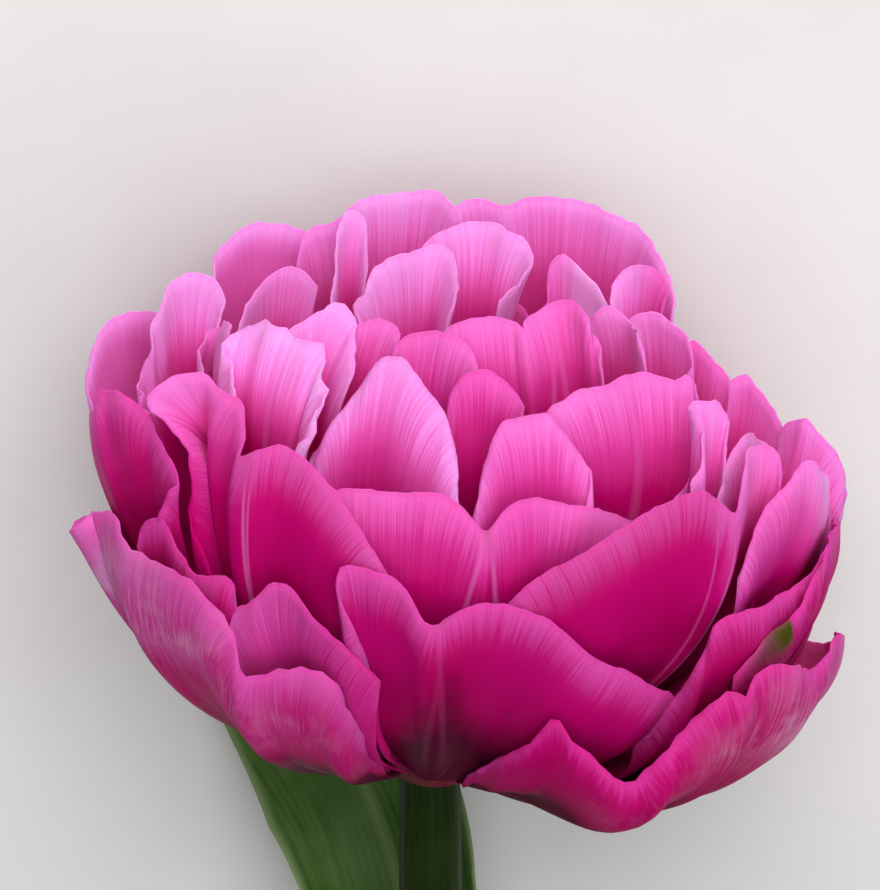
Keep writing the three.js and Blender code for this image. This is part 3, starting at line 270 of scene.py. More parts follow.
      (-40.7, 59.7, -47.5), (-36, 58, -45)],
     dict(fair=1.05, sheer=(0.85, 60))),
    ("left_tab", 2, -80, 42, 99,
     [(-34.6, 50, 34.8), (-34.5, 57.8, -34.8), (-33.4, 58.6, -33.6), (-32.3, 58.6, 32.4), (-31, 56, 31.2),
      (-30, 50, 30.6)],
     dict(fair=0.9)),
    ("ruffle", 2.1, -55, 49, 106,
     [(-28.5, 44, 34.3), (-30.1, 52.5, 33), (-31.2, 56.7, 32.4), (-30.9, 57.6, 32), (-29, 59.3, 30.4),
      (-26.9, 59.7, 29), (-24.7, 58.5, 28), (-22.6, 57.3, 27), (-20.2, 57.5, 25.5), (-19.4, 55.4, 25.5),
      (-19.8, 52.7, 26.3), (-19.2, 52, 26.6), (-20.6, 46.4, 29), (-21.8, 41, 30.5)],
     dict(fair=1.15, ribs=[((-24.7, 58.5), 0, 0.5, 0.5), ((-21, 59), 3, 0.3, 0.4)],
          crimp=(5.5, 0.55, 2.2), curl=(1.1, 10), jag=0.26)),
    ("light_fold", 2.8, -75, 57, 108,
     [(-23.2, 54, 25), (-22.9, 58.3, 23.7), (-19.1, 61.4, 19.5), (-17.1, 62.9, 17.2), (-15.9, 60.3, 16.7),
      (-15, 53.7, 18.5)],
     dict(fair=1.1, crimp=(9, 0.4, 2), curl=(1.0, 9))),
    ("heart_small", 3.6, -50, 65, 108,
     [(-14.8, 55, 16.2), (-14.7, 59.3, 15.2), (-13.5, 60.8, 13.9), (-11.5, 61.3, 12.3), (-9.4, 60.2, 11),
      (-9.2, 58, 11.8), (-9.4, 55, 13)],
     dict(fair=0.7)),
    ("heart_pink", 3.6, -8, 65, 108,
     [(-9, 54, 13.5), (-8.6, 58.5, 11.5), (-6, 60, 9.5), (-3, 60.2, 8.8), (0, 59, 9.8), (1.5, 56, 12),
      (1.6, 50, 14)],
     dict(fair=0.6)),
    ("right_tab", 1.8, 108, 37, 98,
     [(29, 58, -33.5), (30.5, 61.5, -35), (32.8, 59.9, -36.2), (34.8, 58.1, -37.5), (35.8, 56.9, -38.2),
      (36, 52, -38)],
     dict(fair=0.7, green=(0.5, 0.95, 0.3))),
    ("right_peak", 1.3, 108, 33, 97,
     [(34.5, 52, -38.8), (35.8, 54.3, -40.2), (36.7, 56.6, -41.5), (38.2, 57.4, -42.8),
      (39.9, 55.9, -43.7), (41.9, 53.6, -44.7), (43.4, 50.9, -45.5), (44, 46, -46)],
     dict(fair=0.85)),
    ("right_curl", 1.6, 74, 33, 95,
     [(32.4, 42.5, 39.4), (33.6, 44.9, 39), (33.6, 47.8, 38.3), (33.5, 50.5, 37.6), (32, 53.1, 36.2),
      (33.8, 53.6, 36.8), (35.2, 53.7, 37.4), (36, 50, 38.3), (36.2, 45, 39)],
     dict(fair=0.85, crimp=(6, 0.3, 3))),
])

# Petals that the photograph hides, each a broad heart: the same, with its half angle, and the
# height and reach of its rim for an edge
HIDDEN_PETALS = table("name facing half height reach whorl rise arrive", [
    ("under_middle", 168, 33, 44, 50, 0, 15, 82),
    ("under_right", 128, 27, 43, 46, 0.85, 19, 83),
    ("under_left", 212, 27, 45, 46.5, 0.85, 20, 83),
    ("behind_right", 142, 24, 54, 43.5, 1.3, 27, 88),
    ("behind_middle", 188, 25, 57, 40, 1.6, 31, 90),
    ("behind_left", 222, 17, 52, 46, 1.2, 25, 86),
    ("second_right", 120, 22, 56, 30.5, 2.2, 43, 94),
    ("second_middle", 176, 26, 62, 29.5, 2.5, 43, 95),
    ("third_middle", 162, 28, 62, 24.5, 2.8, 50, 96),
    ("third_right", 126, 18, 56, 21, 3.2, 56, 96),
    ("third_left", 224, 26, 60, 23, 2.9, 52, 96),
    ("heart_right", 100, 35, 60, 10, 3.7, 66, 98),
    ("heart_left", 210, 40, 60, 8, 3.8, 66, 95),
])
HIDDEN_RIM_POINTS = 9
HIDDEN_DROP = 0.42
HIDDEN_NOTCH = 5
HIDDEN_NOTCH_WIDTH = 0.2
HIDDEN_GATHER = 0.1
HIDDEN_SHOULDER = 2.4

# What a look may say of its petal, and what holds where it doesn't. A list runs along the rim from
# its first point to its last. A place on the rim is where it is seen, across and up.
PLAIN_LOOK = dict(
    # Fine waves: their length, their height and how fast they fade from the rim
    crimp=(5, 0.06, 6),
    # How far the rim curls away from the viewer, and from how far down
    curl=(0.5, 6),
    # How far the rim is jagged
    jag=0.10,
    # How much lighter the rim is: partly the petal's own paler edge and partly a painted highlight where
    # the rim catches the light
    light=0.25,
    # How much darker the foot is, to well up the blade: partly the petal's own deeper base and partly
    # painted shade deep in the cup; below nought the foot is painted lighter
    deep=0,
    # Dark middles down from a notch, partly a darker midrib and partly painted shade in the fold below
    # it: the place that each runs to, its half width and how much it darkens
    middles=[],
    # Pale ribs, two at most: the place, how far each slants on its way down, its half width and
    # how strong it is
    ribs=[],
    # How green it is, and where between foot and rim the green starts and is full
    green=(0, 1, 0),
    # How waxy and mottled it is
    mottle=0,
    # How lilac its back is, partly the petal's own lilac and partly painted sheen and a painted glow of
    # light through it, and within what distance of the rim
    sheer=(0, 1),
    # How silvery its rim is
    frost=0,
)
# How pale a look is says how far its colour runs from deep to fair near the rim. This is partly the
# petal's own paleness and partly painted light: a painted highlight on rolled rims and painted light
# where a petal lies in shade. Left out, it grows by whorl.
FAIR_LEAST = 0.25
FAIR_STEP = 0.1
FAIR_MOST = 0.6

# Relief of every petal. Waves are (length, height, how fast they fade from the rim). The ruffle's
# and the swell's heights are shares of the petal's size.
RUFFLE = (13, 0.006, 5)
FLUTTER = (3.0, 0.10, 9)
SWELL_WAVE = 24
SWELL_HEIGHT = 0.008
FURROW_WAVE = 1.35
FURROW_HEIGHT = 0.012
FURROW_WANDER = 2
FURROW_WANDER_WAVE = 9
CREASE_DEPTH = 0.5
CREASE_HALF = 1.8
CREASED_RIM = 40
# Where between foot and rim the swell and the furrows start and are full
BLADE_START = (0.15, 0.6)
# How much of the relief is left at the two ends of a rim, and how soon it is all there
END_RELIEF = 0.2
END_CURL = 0.3
END_SETTLE = 0.12
END_CURL_SETTLE = 0.3
# Jags: their length, how far down they reach, and the rows that their direction is taken over
JAG_WAVE = 3.2
JAG_BAND = 3
JAG_ROWS = 3

# Colours of every petal. A reach says at what distance from the rim, or what share of the way from
# foot to rim, a colour is none and full.
BODY_LEVEL = 0.2
FAIR_GAIN = 0.45
FAIR_REACH = (22, 5)
RIM_BAND = 5
FAIR_BAND = 7
# Every petal is darker towards its foot: partly its own deeper base and partly painted shade deep in the
# cup.
FOOT_DARK = 0.21
FOOT_DARK_REACH = (0.7, 0.15)
DEEP_REACH = (0.95, 0.35)
# How strongly veins fray the colour: on the body, on fair petals, whose paleness is partly painted light,
# and where the lighter rim, partly a painted highlight, ends
BODY_FRAY = 0.14
FAIR_FRAY = 0.12
RIM_FRAY = 2.4
# A dark middle has a fine green line at the rim.
MIDDLE_REACH = (1.0, 0.85)
MIDDLE_GREEN = 0.5
MIDDLE_GREEN_NARROW = 3
MIDDLE_GREEN_REACH = (3, 0)
GREEN_ENDS = (0, 0.1)
# Mottling is faint all over and most in a band some way from the rim.
MOTTLE_BODY = 0.25
MOTTLE_FROM_RIM = 9
MOTTLE_HALF = 4.5
NO_RIB = ((0, 0), 0, 1, 0)
RIB_RIM = (1.0, 0.9)
RIB_FOOT = (0.2, 0.6)
RIB_NARROW = 0.2
RIB_SPAN = 60
LILAC_SHEEN_FADE = 1.4
FROST_REACH = (8, 1)
# Halfway from nought to one
HALFWAY = 0.5
# Veins follow the ribs and bend out to the rim near it, by a slope taken over some rows of the grid
# and evened out along the rim.
VEIN_BEND = 12
VEIN_BEND_SHARE = 0.2
VEIN_BLUR = 5
VEIN_ROWS = 4
# How far apart the petals lie in the fan map, so that no two have the same veins, and the distance
# from the rim that counts as one
PETAL_MAP_STEP = 137
DEPTH_SPAN = 40

# The stem: its centre line from the heart to its cut end, from the bloom's base, its flutes, each
# (height, how many round, how far they wind, where they start), its slow bends and its cut end
STEM_LINE = [
    (-0.05, 1.3, 0.2), (0, -12, -2.5), (0, -30, -6.2), (-0.4, -60, -12.6), (-1.2, -100, -20.4),
    (-0.6, -140, -26.4), (1.8, -175, -30.6), (4.6, -203, -32.2),
]
STEM_RADIUS = 4.35
STEM_FLARE = 0.35
STEM_NECK = 0.06
STEM_ROUND = 56
STEM_ALONG = 260
STEM_GIRTH = 27
STEM_FLUTES = [(0.05, 7, 5, 0), (0.04, 12, -9, 1)]
STEM_BEND_HEIGHT = 0.07
STEM_BENDS = 9
STEM_BEND_SKEW = 2
CAP_RINGS = 8
CAP_HOLLOW = 0.25
CAP_HOLLOW_REACH = 1.4
CAP_SHADE = 0.5

# Leaves: the spine's points, the half widths along it, the radius that the blade is rolled to, the
# side that its hollow faces at the foot and at the tip, and the height and count of its waves
LEAVES = [
    dict(name="leaf_upper",
         spine=[(0, -66, -20.8), (0, -52, -17.6), (-1, -38, -17.5), (-4, -24, -22), (-9.5, -9, -28),
                (-19, 4, -32.8), (-30, 17, -34.8), (-42, 31, -35.6)],
         half=[8, 10, 12.5, 14.5, 14.5, 11.5, 8.5, 0.8],
         roll=[5.7, 6, 8, 13, 24, 36, 36, 36],
         hollow=[(0, -0.15, 1), (-0.1, 0.1, 1)],
         wave=1.4, waves=2.4),
    dict(name="leaf_lower",
         spine=[(4.9, -160, -33.2), (6.4, -146, -33), (13, -128, -33.8), (22.5, -108, -35),
                (31, -86, -35.4), (38, -63, -35.4), (42, -42, -35)],
         half=[8, 11, 17, 20, 19, 13, 0.8],
         roll=[6.1, 8.2, 15, 28, 40, 40, 40],
         hollow=[(-0.75, 0, 0.66), (-0.1, 0, 1)],
         wave=2.2, waves=3.1),
]
LEAF_ACROSS = 60
LEAF_ALONG = 150
LEAF_FOOT = 0.09
LEAF_FOOT_WIDTH = 0.35
LEAF_WAVE_SHIFT = 1.1
LEAF_WAVE_RISE = 3
LEAF_MIDDLE = 1.05
LEAF_MARGIN = 0.4
LEAF_TAPER = 2.5
LEAF_RIDGE_WAVE = 1.7
LEAF_RIDGE_HEIGHT = 0.05
LEAF_RIDGE_START = (0, 0.1)
LEAF_FOLD_HALF = 1.6
LEAF_FOLD_DEPTH = 0.35
LEAF_FOLD_START = (0.1, 0.5)
LEAF_EDGE_BAND = (0.9, 1.0)
LEAF_MIDRIB_HALF = 0.9
LEAF_MAP_STEP = 97

# The heart that the petals grow from: (out, up) from its foot to its top, and its colour's level, which
# is near nought at the foot as painted shade deep inside the bloom, fraying and green
HEART_OUTLINE = [
    (0, 0.9), (4.2, 0.9), (6.1, 2.2), (7.4, 5), (8.6, 9), (9.4, 16), (9.2, 24), (7.2, 31), (3.5, 35),
    (0, 36),
]
HEART_ROUND = 48
HEART_LEAST_RADIUS = 0.05
HEART_MAP_RADIUS = 6
HEART_SHADED_LEVEL = 0.3
HEART_FRAY = 0.1
HEART_GREEN = 0.6

# Colours, as linear light; the ramp runs from the deepest to the fairest.
PETAL_RAMP = [
    (0.0, (0.085, 0.0, 0.020)), (0.06, (0.20, 0.0, 0.045)), (0.15, (0.42, 0.0, 0.105)),
    (0.32, (0.53, 0.002, 0.17)), (0.48, (0.63, 0.036, 0.30)), (0.64, (0.77, 0.095, 0.425)),
    (0.82, (0.92, 0.205, 0.62)), (1.0, (1.0, 0.38, 0.84)),
]
PETAL_LILAC_SHEEN = (0.66, 0.12, 0.44)
PETAL_FROST = (0.52, 0.11, 0.37)
PETAL_WAX = (0.74, 0.36, 0.58)
PETAL_GREEN = (0.058, 0.066, 0.004)
PETAL_RIB = (0.70, 0.13, 0.44)
STEM_DARK = (0.006, 0.016, 0.002)
STEM_LIGHT = (0.015, 0.033, 0.004)
STEM_PITH = (0.38, 0.46, 0.20)
LEAF_DARK = (0.024, 0.068, 0.008)
LEAF_LIGHT = (0.066, 0.152, 0.022)
LEAF_BLOOM = (0.15, 0.25, 0.10)
LEAF_EDGE = (0.26, 0.36, 0.16)
FLOOR_DARK = (0.70, 0.69, 0.67)
FLOOR_LIGHT = (0.74, 0.73, 0.71)

# Noise: the stretches across and along the ribs, or the scale in space, and the detail
FINE_VEINS = (4.2, 1.6, 2)
VEIN_BUNDLES = (1.3, 1.0, 2)
PETAL_SPECKLE = (2.2, 8, 4)
PETAL_CLOUDS = (120, 4)
PETAL_SHADES = (70, 3)
STEM_FIBRES = (1.3, 26, 4)
STEM_CLOUDS = (90, 4)
LEAF_VEINS = (1.5, 5, 4)
LEAF_BANDS = (0.35, 3, 3)
LEAF_WAX = (60, 5)
FLOOR_GRAIN = (30, 5)

# How strong each part of the petals' colour is, and the values between which it comes in
VEIN_SWING = 0.55
BUNDLE_SWING = 0.18
SHADE_SWING = 0.22
EDGE_SHADE = -0.05
EDGE_REACH = (0.02, 0.0)
LILAC_SHEEN_START = (0.0, 0.12)
FROST_STREAKS = (0.12, 0.62)
SPECKLE_STEP = (0.42, 0.7)
CLOUD_STEP = (0.44, 0.62)
MOTTLE_GAIN = 0.36
GREEN_STEP = (0.38, 0.6)
RIB_LINE = (1.6, 0.2)
RIB_GAIN = 0.75
STEM_FIBRE_STOPS = (0.3, 0.7)
STEM_CLOUD_STEP = (0.45, 0.8)
LEAF_VEIN_STOPS = (0.35, 0.65)
LEAF_BAND_GAIN = 0.4
LEAF_WAX_STEP = (0.4, 0.75)
LEAF_WAX_GAIN = 0.4
LEAF_MIDRIB_GAIN = 0.35
LEAF_EDGE_GAIN = 0.6
FLOOR_STOPS = (0.3, 0.7)

# Surfaces: roughness, specular level, light let in, the colours that it goes deepest in, and how
# deep in metres, then the strength and the height in metres of the fine relief
PETAL_SURFACE = (0.55, 0.03, 0.6, (1.0, 0.15, 0.5), 0.0018, 0.3, 0.00008)
STEM_SURFACE = (0.48, 0.07, 0.1, (0.5, 1.0, 0.2), 0.0008, 0.3, 0.0002)
LEAF_SURFACE = (0.5, 0.07, 0.15, (0.5, 1.0, 0.2), 0.0008, 0.35, 0.0002)
FLOOR_ROUGHNESS = 0.7

# The floor's half side and the lights, in metres: place, size, power and colour
FLOOR_HALF = 3
LIGHT_AIM = (0, 0.1, 0.04)
LIGHTS = {
    "key": ((0.1, 0.95, 0.82), 1.3, 12.2, (1, 0.99, 0.97)),
    "fill": ((0.25, 0.1, 1.15), 1.3, 9.0, (0.97, 0.98, 1)),
}
SKY_COLOUR = (0.93, 0.95, 1, 1)
SKY_STRENGTH = 0.2

# The waves that add up to a rolling line, each (length, height), and how high they are together
ROLLING_WAVES = [(1, 1), (0.61, 0.6), (0.37, 0.35)]
ROLLING_HEIGHT = 1.5
# A quad's corners the other way round, from the same first one
FLIPPED = [0, 3, 2, 1]


def wrapped(angle):
    """The same angle between minus and plus half a turn."""
    return (angle + math.pi) % (2 * math.pi) - math.pi


def lengths(vectors):
    return np.linalg.norm(vectors, axis=-1, keepdims=True)


def unit(vectors):
    return vectors / np.maximum(lengths(vectors), 1e-9)


def run_along(points):
    """How far each point is along the line through them all."""
    return np.concatenate([[0], np.cumsum(np.linalg.norm(np.diff(points, axis=0), axis=1))])


def ease(low, high, value):
    """A smooth step from none at low to one at high, which may be the smaller."""
    t = np.clip((value - low) / (high - low), 0, 1)
    return t * t * (3 - 2 * t)


def bell(value, half):
    return np.exp(-(value / half) ** 2)


def from_ends(u):
    """How far a place along the rim is from the nearer end: one in the middle, nought at the ends."""
    return np.minimum(u, 1 - u) * 2


def listed(value, share):
    """One value for all, or a list of them spread evenly from share 0 to share 1, at a share."""
    values = np.atleast_1d(value)
    return np.interp(share, np.linspace(0, 1, len(values)), values)


SIGHT_AXIS = np.array([0, -math.cos(SIGHT_RISE), math.sin(SIGHT_RISE)])


def view_plane(across, up):
    """The point at (across, up) on the plane through the bloom's base that faces the camera."""
    return np.array([across, up * math.sin(SIGHT_RISE), up * math.cos(SIGHT_RISE)])


EYE = view_plane(*SIGHT_AIM) + SIGHT_DISTANCE * SIGHT_AXIS


def sight_point(across, up, reach):
    """Where the sight line through (across, up) meets the cylinder of radius reach round the axis."""
    start = view_plane(across, up)
    line = EYE - start
    a = line[0] ** 2 + line[1] ** 2
    b = start[0] * line[0] + start[1] * line[1]
    c = start[0] ** 2 + start[1] ** 2 - reach ** 2
    root = math.sqrt(max(b * b - a * c, 0))
    return start + line * (-b + math.copysign(root, reach)) / a


SIGHT_ON_TABLE = np.array([0, math.sin(SIGHT_RISE - BLOOM_TILT), math.cos(SIGHT_RISE - BLOOM_TILT)])
TILTED = np.array([
    [1, 0, 0],
    [0, math.sin(BLOOM_TILT), math.cos(BLOOM_TILT)],
    [0, -math.cos(BLOOM_TILT), math.sin(BLOOM_TILT)],
])
BLOOM_TURN = np.array(Matrix.Rotation(-BLOOM_LEAN, 3, Vector(SIGHT_ON_TABLE))) @ TILTED


def on_table(points):
    """Points of the upright flower's own frame, where the flower lies."""
    return points @ BLOOM_TURN.T + BLOOM_BASE


def pressed(points, level):
    """Lays what would reach below its level down on it, with a smooth bend where it meets it."""
    above = (points[..., 2] - level) / PRESS_SOFTNESS
    height = level + PRESS_SOFTNESS * np.logaddexp(above, 0)
    return np.concatenate([points[..., :2], height[..., None]], axis=-1)


def smooth_curve(points):
    """A centripetal curve through points: dense points, their place in the list and their length."""
    points = np.array(points, float)
    ends = [2 * points[0] - points[1], 2 * points[-1] - points[-2]]
    ext = np.vstack([ends[:1], points, ends[1:]])
    t = np.arange(CURVE_STEPS)[:, None] / CURVE_STEPS
    dense = []
    for k in range(1, len(ext) - 2):
        p0, p1, p2, p3 = ext[k - 1:k + 3]
        d0, d1, d2 = (max(math.sqrt(np.linalg.norm(b - a)), 1e-4)
                      for a, b in ((p0, p1), (p1, p2), (p2, p3)))
        m1 = ((p1 - p0) / d0 - (p2 - p0) / (d0 + d1) + (p2 - p1) / d1) * d1
        m2 = ((p2 - p1) / d1 - (p3 - p1) / (d1 + d2) + (p3 - p2) / d2) * d1
        dense.append(p1 + m1 * t + (3 * (p2 - p1) - 2 * m1 - m2) * t ** 2
                     + (2 * (p1 - p2) + m1 + m2) * t ** 3)
    dense = np.vstack(dense + [ext[-2:-1]])
    return dense, np.linspace(0, 1, len(dense)), run_along(dense)


def evenly(points, count):
    """Count points at equal steps along the smooth curve through points, and their place in it."""
    dense, place, run = smooth_curve(points)
    wanted = np.linspace(0, run[-1], count)
    even = np.stack([np.interp(wanted, run, dense[:, k]) for k in range(3)], axis=1)
    return even, np.interp(wanted, run, place)


def hidden_rim(petal):
    """A broad heart round the axis, highest beside its notch."""
    across = np.linspace(-1, 1, HIDDEN_RIM_POINTS)
    bearing = np.radians(petal["facing"] + petal["half"] * across)
    radius = petal["reach"] * (1 - HIDDEN_GATHER * across ** 2)
    up = petal["height"] * (1 - HIDDEN_DROP * abs(across) ** HIDDEN_SHOULDER)
    up = up - HIDDEN_NOTCH * bell(across, HIDDEN_NOTCH_WIDTH)
    return np.stack([radius * np.sin(bearing), -radius * np.cos(bearing), up], axis=1)


def out_and_side(bearing):
    """Directions away from the axis at each bearing, and round it."""
    flat = np.zeros_like(bearing)
    out = np.stack([np.sin(bearing), -np.cos(bearing), flat], axis=1)
    side = np.stack([np.cos(bearing), np.sin(bearing), flat], axis=1)
    return out, side


def lean(out, angle):
    """A direction that leaves the level by an angle."""
    return out * np.cos(angle)[:, None] + np.array([0, 0, 1]) * np.sin(angle)[:, None]


def petal_ribs(petal):
    """The four control points of every rib, in the flower's frame, and the rim's length."""
    if "edge" in petal:
        rim_points = [sight_point(*point[:3]) for point in petal["edge"]]
        arrivals = [point[3] if len(point) > 3 else petal["arrive"] for point in petal["edge"]]
    else:
        rim_points = hidden_rim(petal)
        arrivals = petal["arrive"]
    rim_length = smooth_curve(rim_points)[2][-1]
    columns = int(np.clip(rim_length / COLUMN_STEP, MIN_COLUMNS, MAX_COLUMNS)) + 1
    tip, place = evenly(rim_points, columns)
    arrive = np.radians(listed(arrivals, place))
    rise = np.radians(listed(petal["rise"], np.linspace(0, 1, columns)))
    facing = math.radians(petal["facing"])
    spread = np.clip(wrapped(np.arctan2(tip[:, 0], -tip[:, 1]) - facing), -MAX_SPREAD, MAX_SPREAD)
    foot_out, foot_side = out_and_side(facing + spread * FOOT_FAN)
    rim_out, rim_side = out_and_side(facing + spread * RIM_TURN)
    foot = foot_out * (FOOT_RADIUS - FOOT_STEP_IN * petal["whorl"])
    foot[:, 2] = FOOT_HEIGHT + FOOT_STEP_UP * petal["whorl"]
    span = tip - foot
    reach = lengths(span)
    first = foot + reach * FOOT_PULL * lean(foot_out, rise)
    first += FANNING * FOOT_PULL * (span * foot_side).sum(1, keepdims=True) * foot_side
    second = tip - reach * RIM_PULL * lean(rim_out, arrive)
    second -= FANNING * RIM_PULL * (span * rim_side).sum(1, keepdims=True) * rim_side
    return (foot, first, second, tip), rim_length


def grid_normals(grid):
    return unit(np.cross(np.gradient(grid, axis=0), np.gradient(grid, axis=1)))


def rolling(length, steps, draw):
    """A gentle random swell of about unit height along a line, with waves near the given length."""
    total = np.zeros_like(steps)
    for stretch, height in ROLLING_WAVES:
        total += height * np.sin(2 * math.pi * (steps / (length * stretch) + draw.random()))
    return total / ROLLING_HEIGHT


def make_mesh(name, verts, faces, uv, colours, material):
    """A smooth mesh from millimetres, with its fan map and its colour attributes."""
    mesh = bpy.data.meshes.new(name)
    mesh.from_pydata((verts * MM).tolist(), [], faces)
    layer = mesh.uv_layers.new(name="fan")
    corners = np.empty(len(mesh.loops), dtype=np.int32)
    mesh.loops.foreach_get("vertex_index", corners)
    layer.data.foreach_set("uv", uv[corners].astype(np.float32).ravel())
    for key, values in colours.items():
        colour = mesh.color_attributes.new(name=key, type="FLOAT_COLOR", domain="POINT")
        colour.data.foreach_set("color", values.astype(np.float32).ravel())
    mesh.polygons.foreach_set("use_smooth", [True] * len(mesh.polygons))
    mesh.materials.append(material)
    mesh.update()
    piece = bpy.data.objects.new(mesh.name, mesh)
    bpy.context.scene.collection.objects.link(piece)
    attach(piece, "root")
    return piece


def shell(name, grid, thickness, uv, colours, material):
    """A closed blade about a middle surface, with a rounded rim."""
    columns, rows = grid.shape[:2]
    count = columns * rows
    half = thickness[..., None] / 2
    side = grid_normals(grid) * half
    index = np.arange(count).reshape(columns, rows)
    loop = np.concatenate([index[:-1, 0], index[-1, :-1], index[:0:-1, -1], index[0, :0:-1]])
    away = np.zeros_like(grid)
    away[0] += grid[0] - grid[1]
    away[-1] += grid[-1] - grid[-2]
    away[:, 0] += grid[:, 0] - grid[:, 1]
    away[:, -1] += grid[:, -1] - grid[:, -2]
    edge = (grid + unit(away) * half).reshape(-1, 3)[loop]
    verts = np.vstack([(grid + side).reshape(-1, 3), (grid - side).reshape(-1, 3), edge])
    verts[:, 2] = np.maximum(verts[:, 2], FLOOR_GAP)
    corners = [index[:-1, :-1], index[1:, :-1], index[1:, 1:], index[:-1, 1:]]
    front = np.stack(corners, axis=-1).reshape(-1, 4)
    ring = np.arange(len(loop)) + 2 * count
    after, ring_after = np.roll(loop, -1), np.roll(ring, -1)
    faces = np.vstack([
        front,
        front[:, FLIPPED] + count,
        np.stack([loop, ring, ring_after, after], axis=-1),
        np.stack([ring, loop + count, after + count, ring_after], axis=-1),
    ])
    pick = np.concatenate([np.arange(count), np.arange(count), loop])
    picked = {layer: values.reshape(-1, 4)[pick] for layer, values in colours.items()}
    return make_mesh(name, verts, faces.tolist(), uv.reshape(-1, 2)[pick], picked, material)


def ring_quads(rings, around):
    """The points' numbers in each of a row of rings, and the quads between the rings."""
    index = np.arange(rings * around).reshape(rings, around)
    after = np.roll(index, -1, axis=1)
    quads = np.stack([index[:-1], index[1:], after[1:], after[:-1]], axis=-1).reshape(-1, 4)
    return index, quads


def rim_place(tip, across, seen_at):
    """The distance along a rim of its point that is seen nearest to (across, up)."""
    seen = EYE + (tip - EYE) * ((EYE @ SIGHT_AXIS) / ((EYE - tip) @ SIGHT_AXIS))[:, None]
    gap = lengths(seen - view_plane(*seen_at))[:, 0]
    return int(np.argmin(gap)) / (len(tip) - 1) * across[-1]


def petal_surface(look, ribs, rim_length, u, v, across, draw):
    """A petal's middle surface: its ribs' curves, waved, curled, furrowed and jagged."""
    foot, tip = ribs[0], ribs[-1]
    weights = [(1 - v) ** 3, 3 * (1 - v) ** 2 * v, 3 * (1 - v) * v ** 2, v ** 3]
    grid = sum(w[..., None] * p[:, None] for w, p in zip(weights, ribs))
    size = math.sqrt(rim_length * float(lengths(tip - foot).mean()))
    to_rim = (1 - v) * lengths(tip - foot)
    margin = from_ends(u)
    settled = END_RELIEF + (1 - END_RELIEF) * ease(0, END_SETTLE, margin)
    blade = ease(*BLADE_START, v)
    middle = np.sin(math.pi * v)
    ruffle_wave, ruffle_share, ruffle_fade = RUFFLE
    waves = sum(height * v ** fade * rolling(wave, across, draw) for wave, height, fade in (
        (ruffle_wave, ruffle_share * size, ruffle_fade), FLUTTER, look["crimp"]))
    curl_back, curl_band = look["curl"]
    curl = -curl_back * np.clip(1 - to_rim / curl_band, 0, 1) ** 2
    curl = curl * (END_CURL + (1 - END_CURL) * ease(0, END_CURL_SETTLE, margin))
    swell = SWELL_HEIGHT * size * blade * middle * rolling(SWELL_WAVE, across, draw)
    crease = -CREASE_DEPTH * bell(across - across[-1] / 2, CREASE_HALF) * middle
    crease = crease * (rim_length > CREASED_RIM)
    wander = FURROW_WANDER * rolling(FURROW_WANDER_WAVE, across, draw)
    furrows = FURROW_HEIGHT * blade * np.sin(2 * math.pi * across / FURROW_WAVE + wander)
    relief = settled * waves + curl + swell + crease + furrows
    grid = grid + grid_normals(grid) * relief[..., None]
    outward = grid[:, -1:] - grid[:, -1 - JAG_ROWS, None]
    jag = listed(look["jag"], u) * rolling(JAG_WAVE, across, draw)
    jag = jag * settled * np.clip(1 - to_rim / JAG_BAND, 0, 1) ** 2
    return grid + outward / lengths(outward) * jag[..., None]


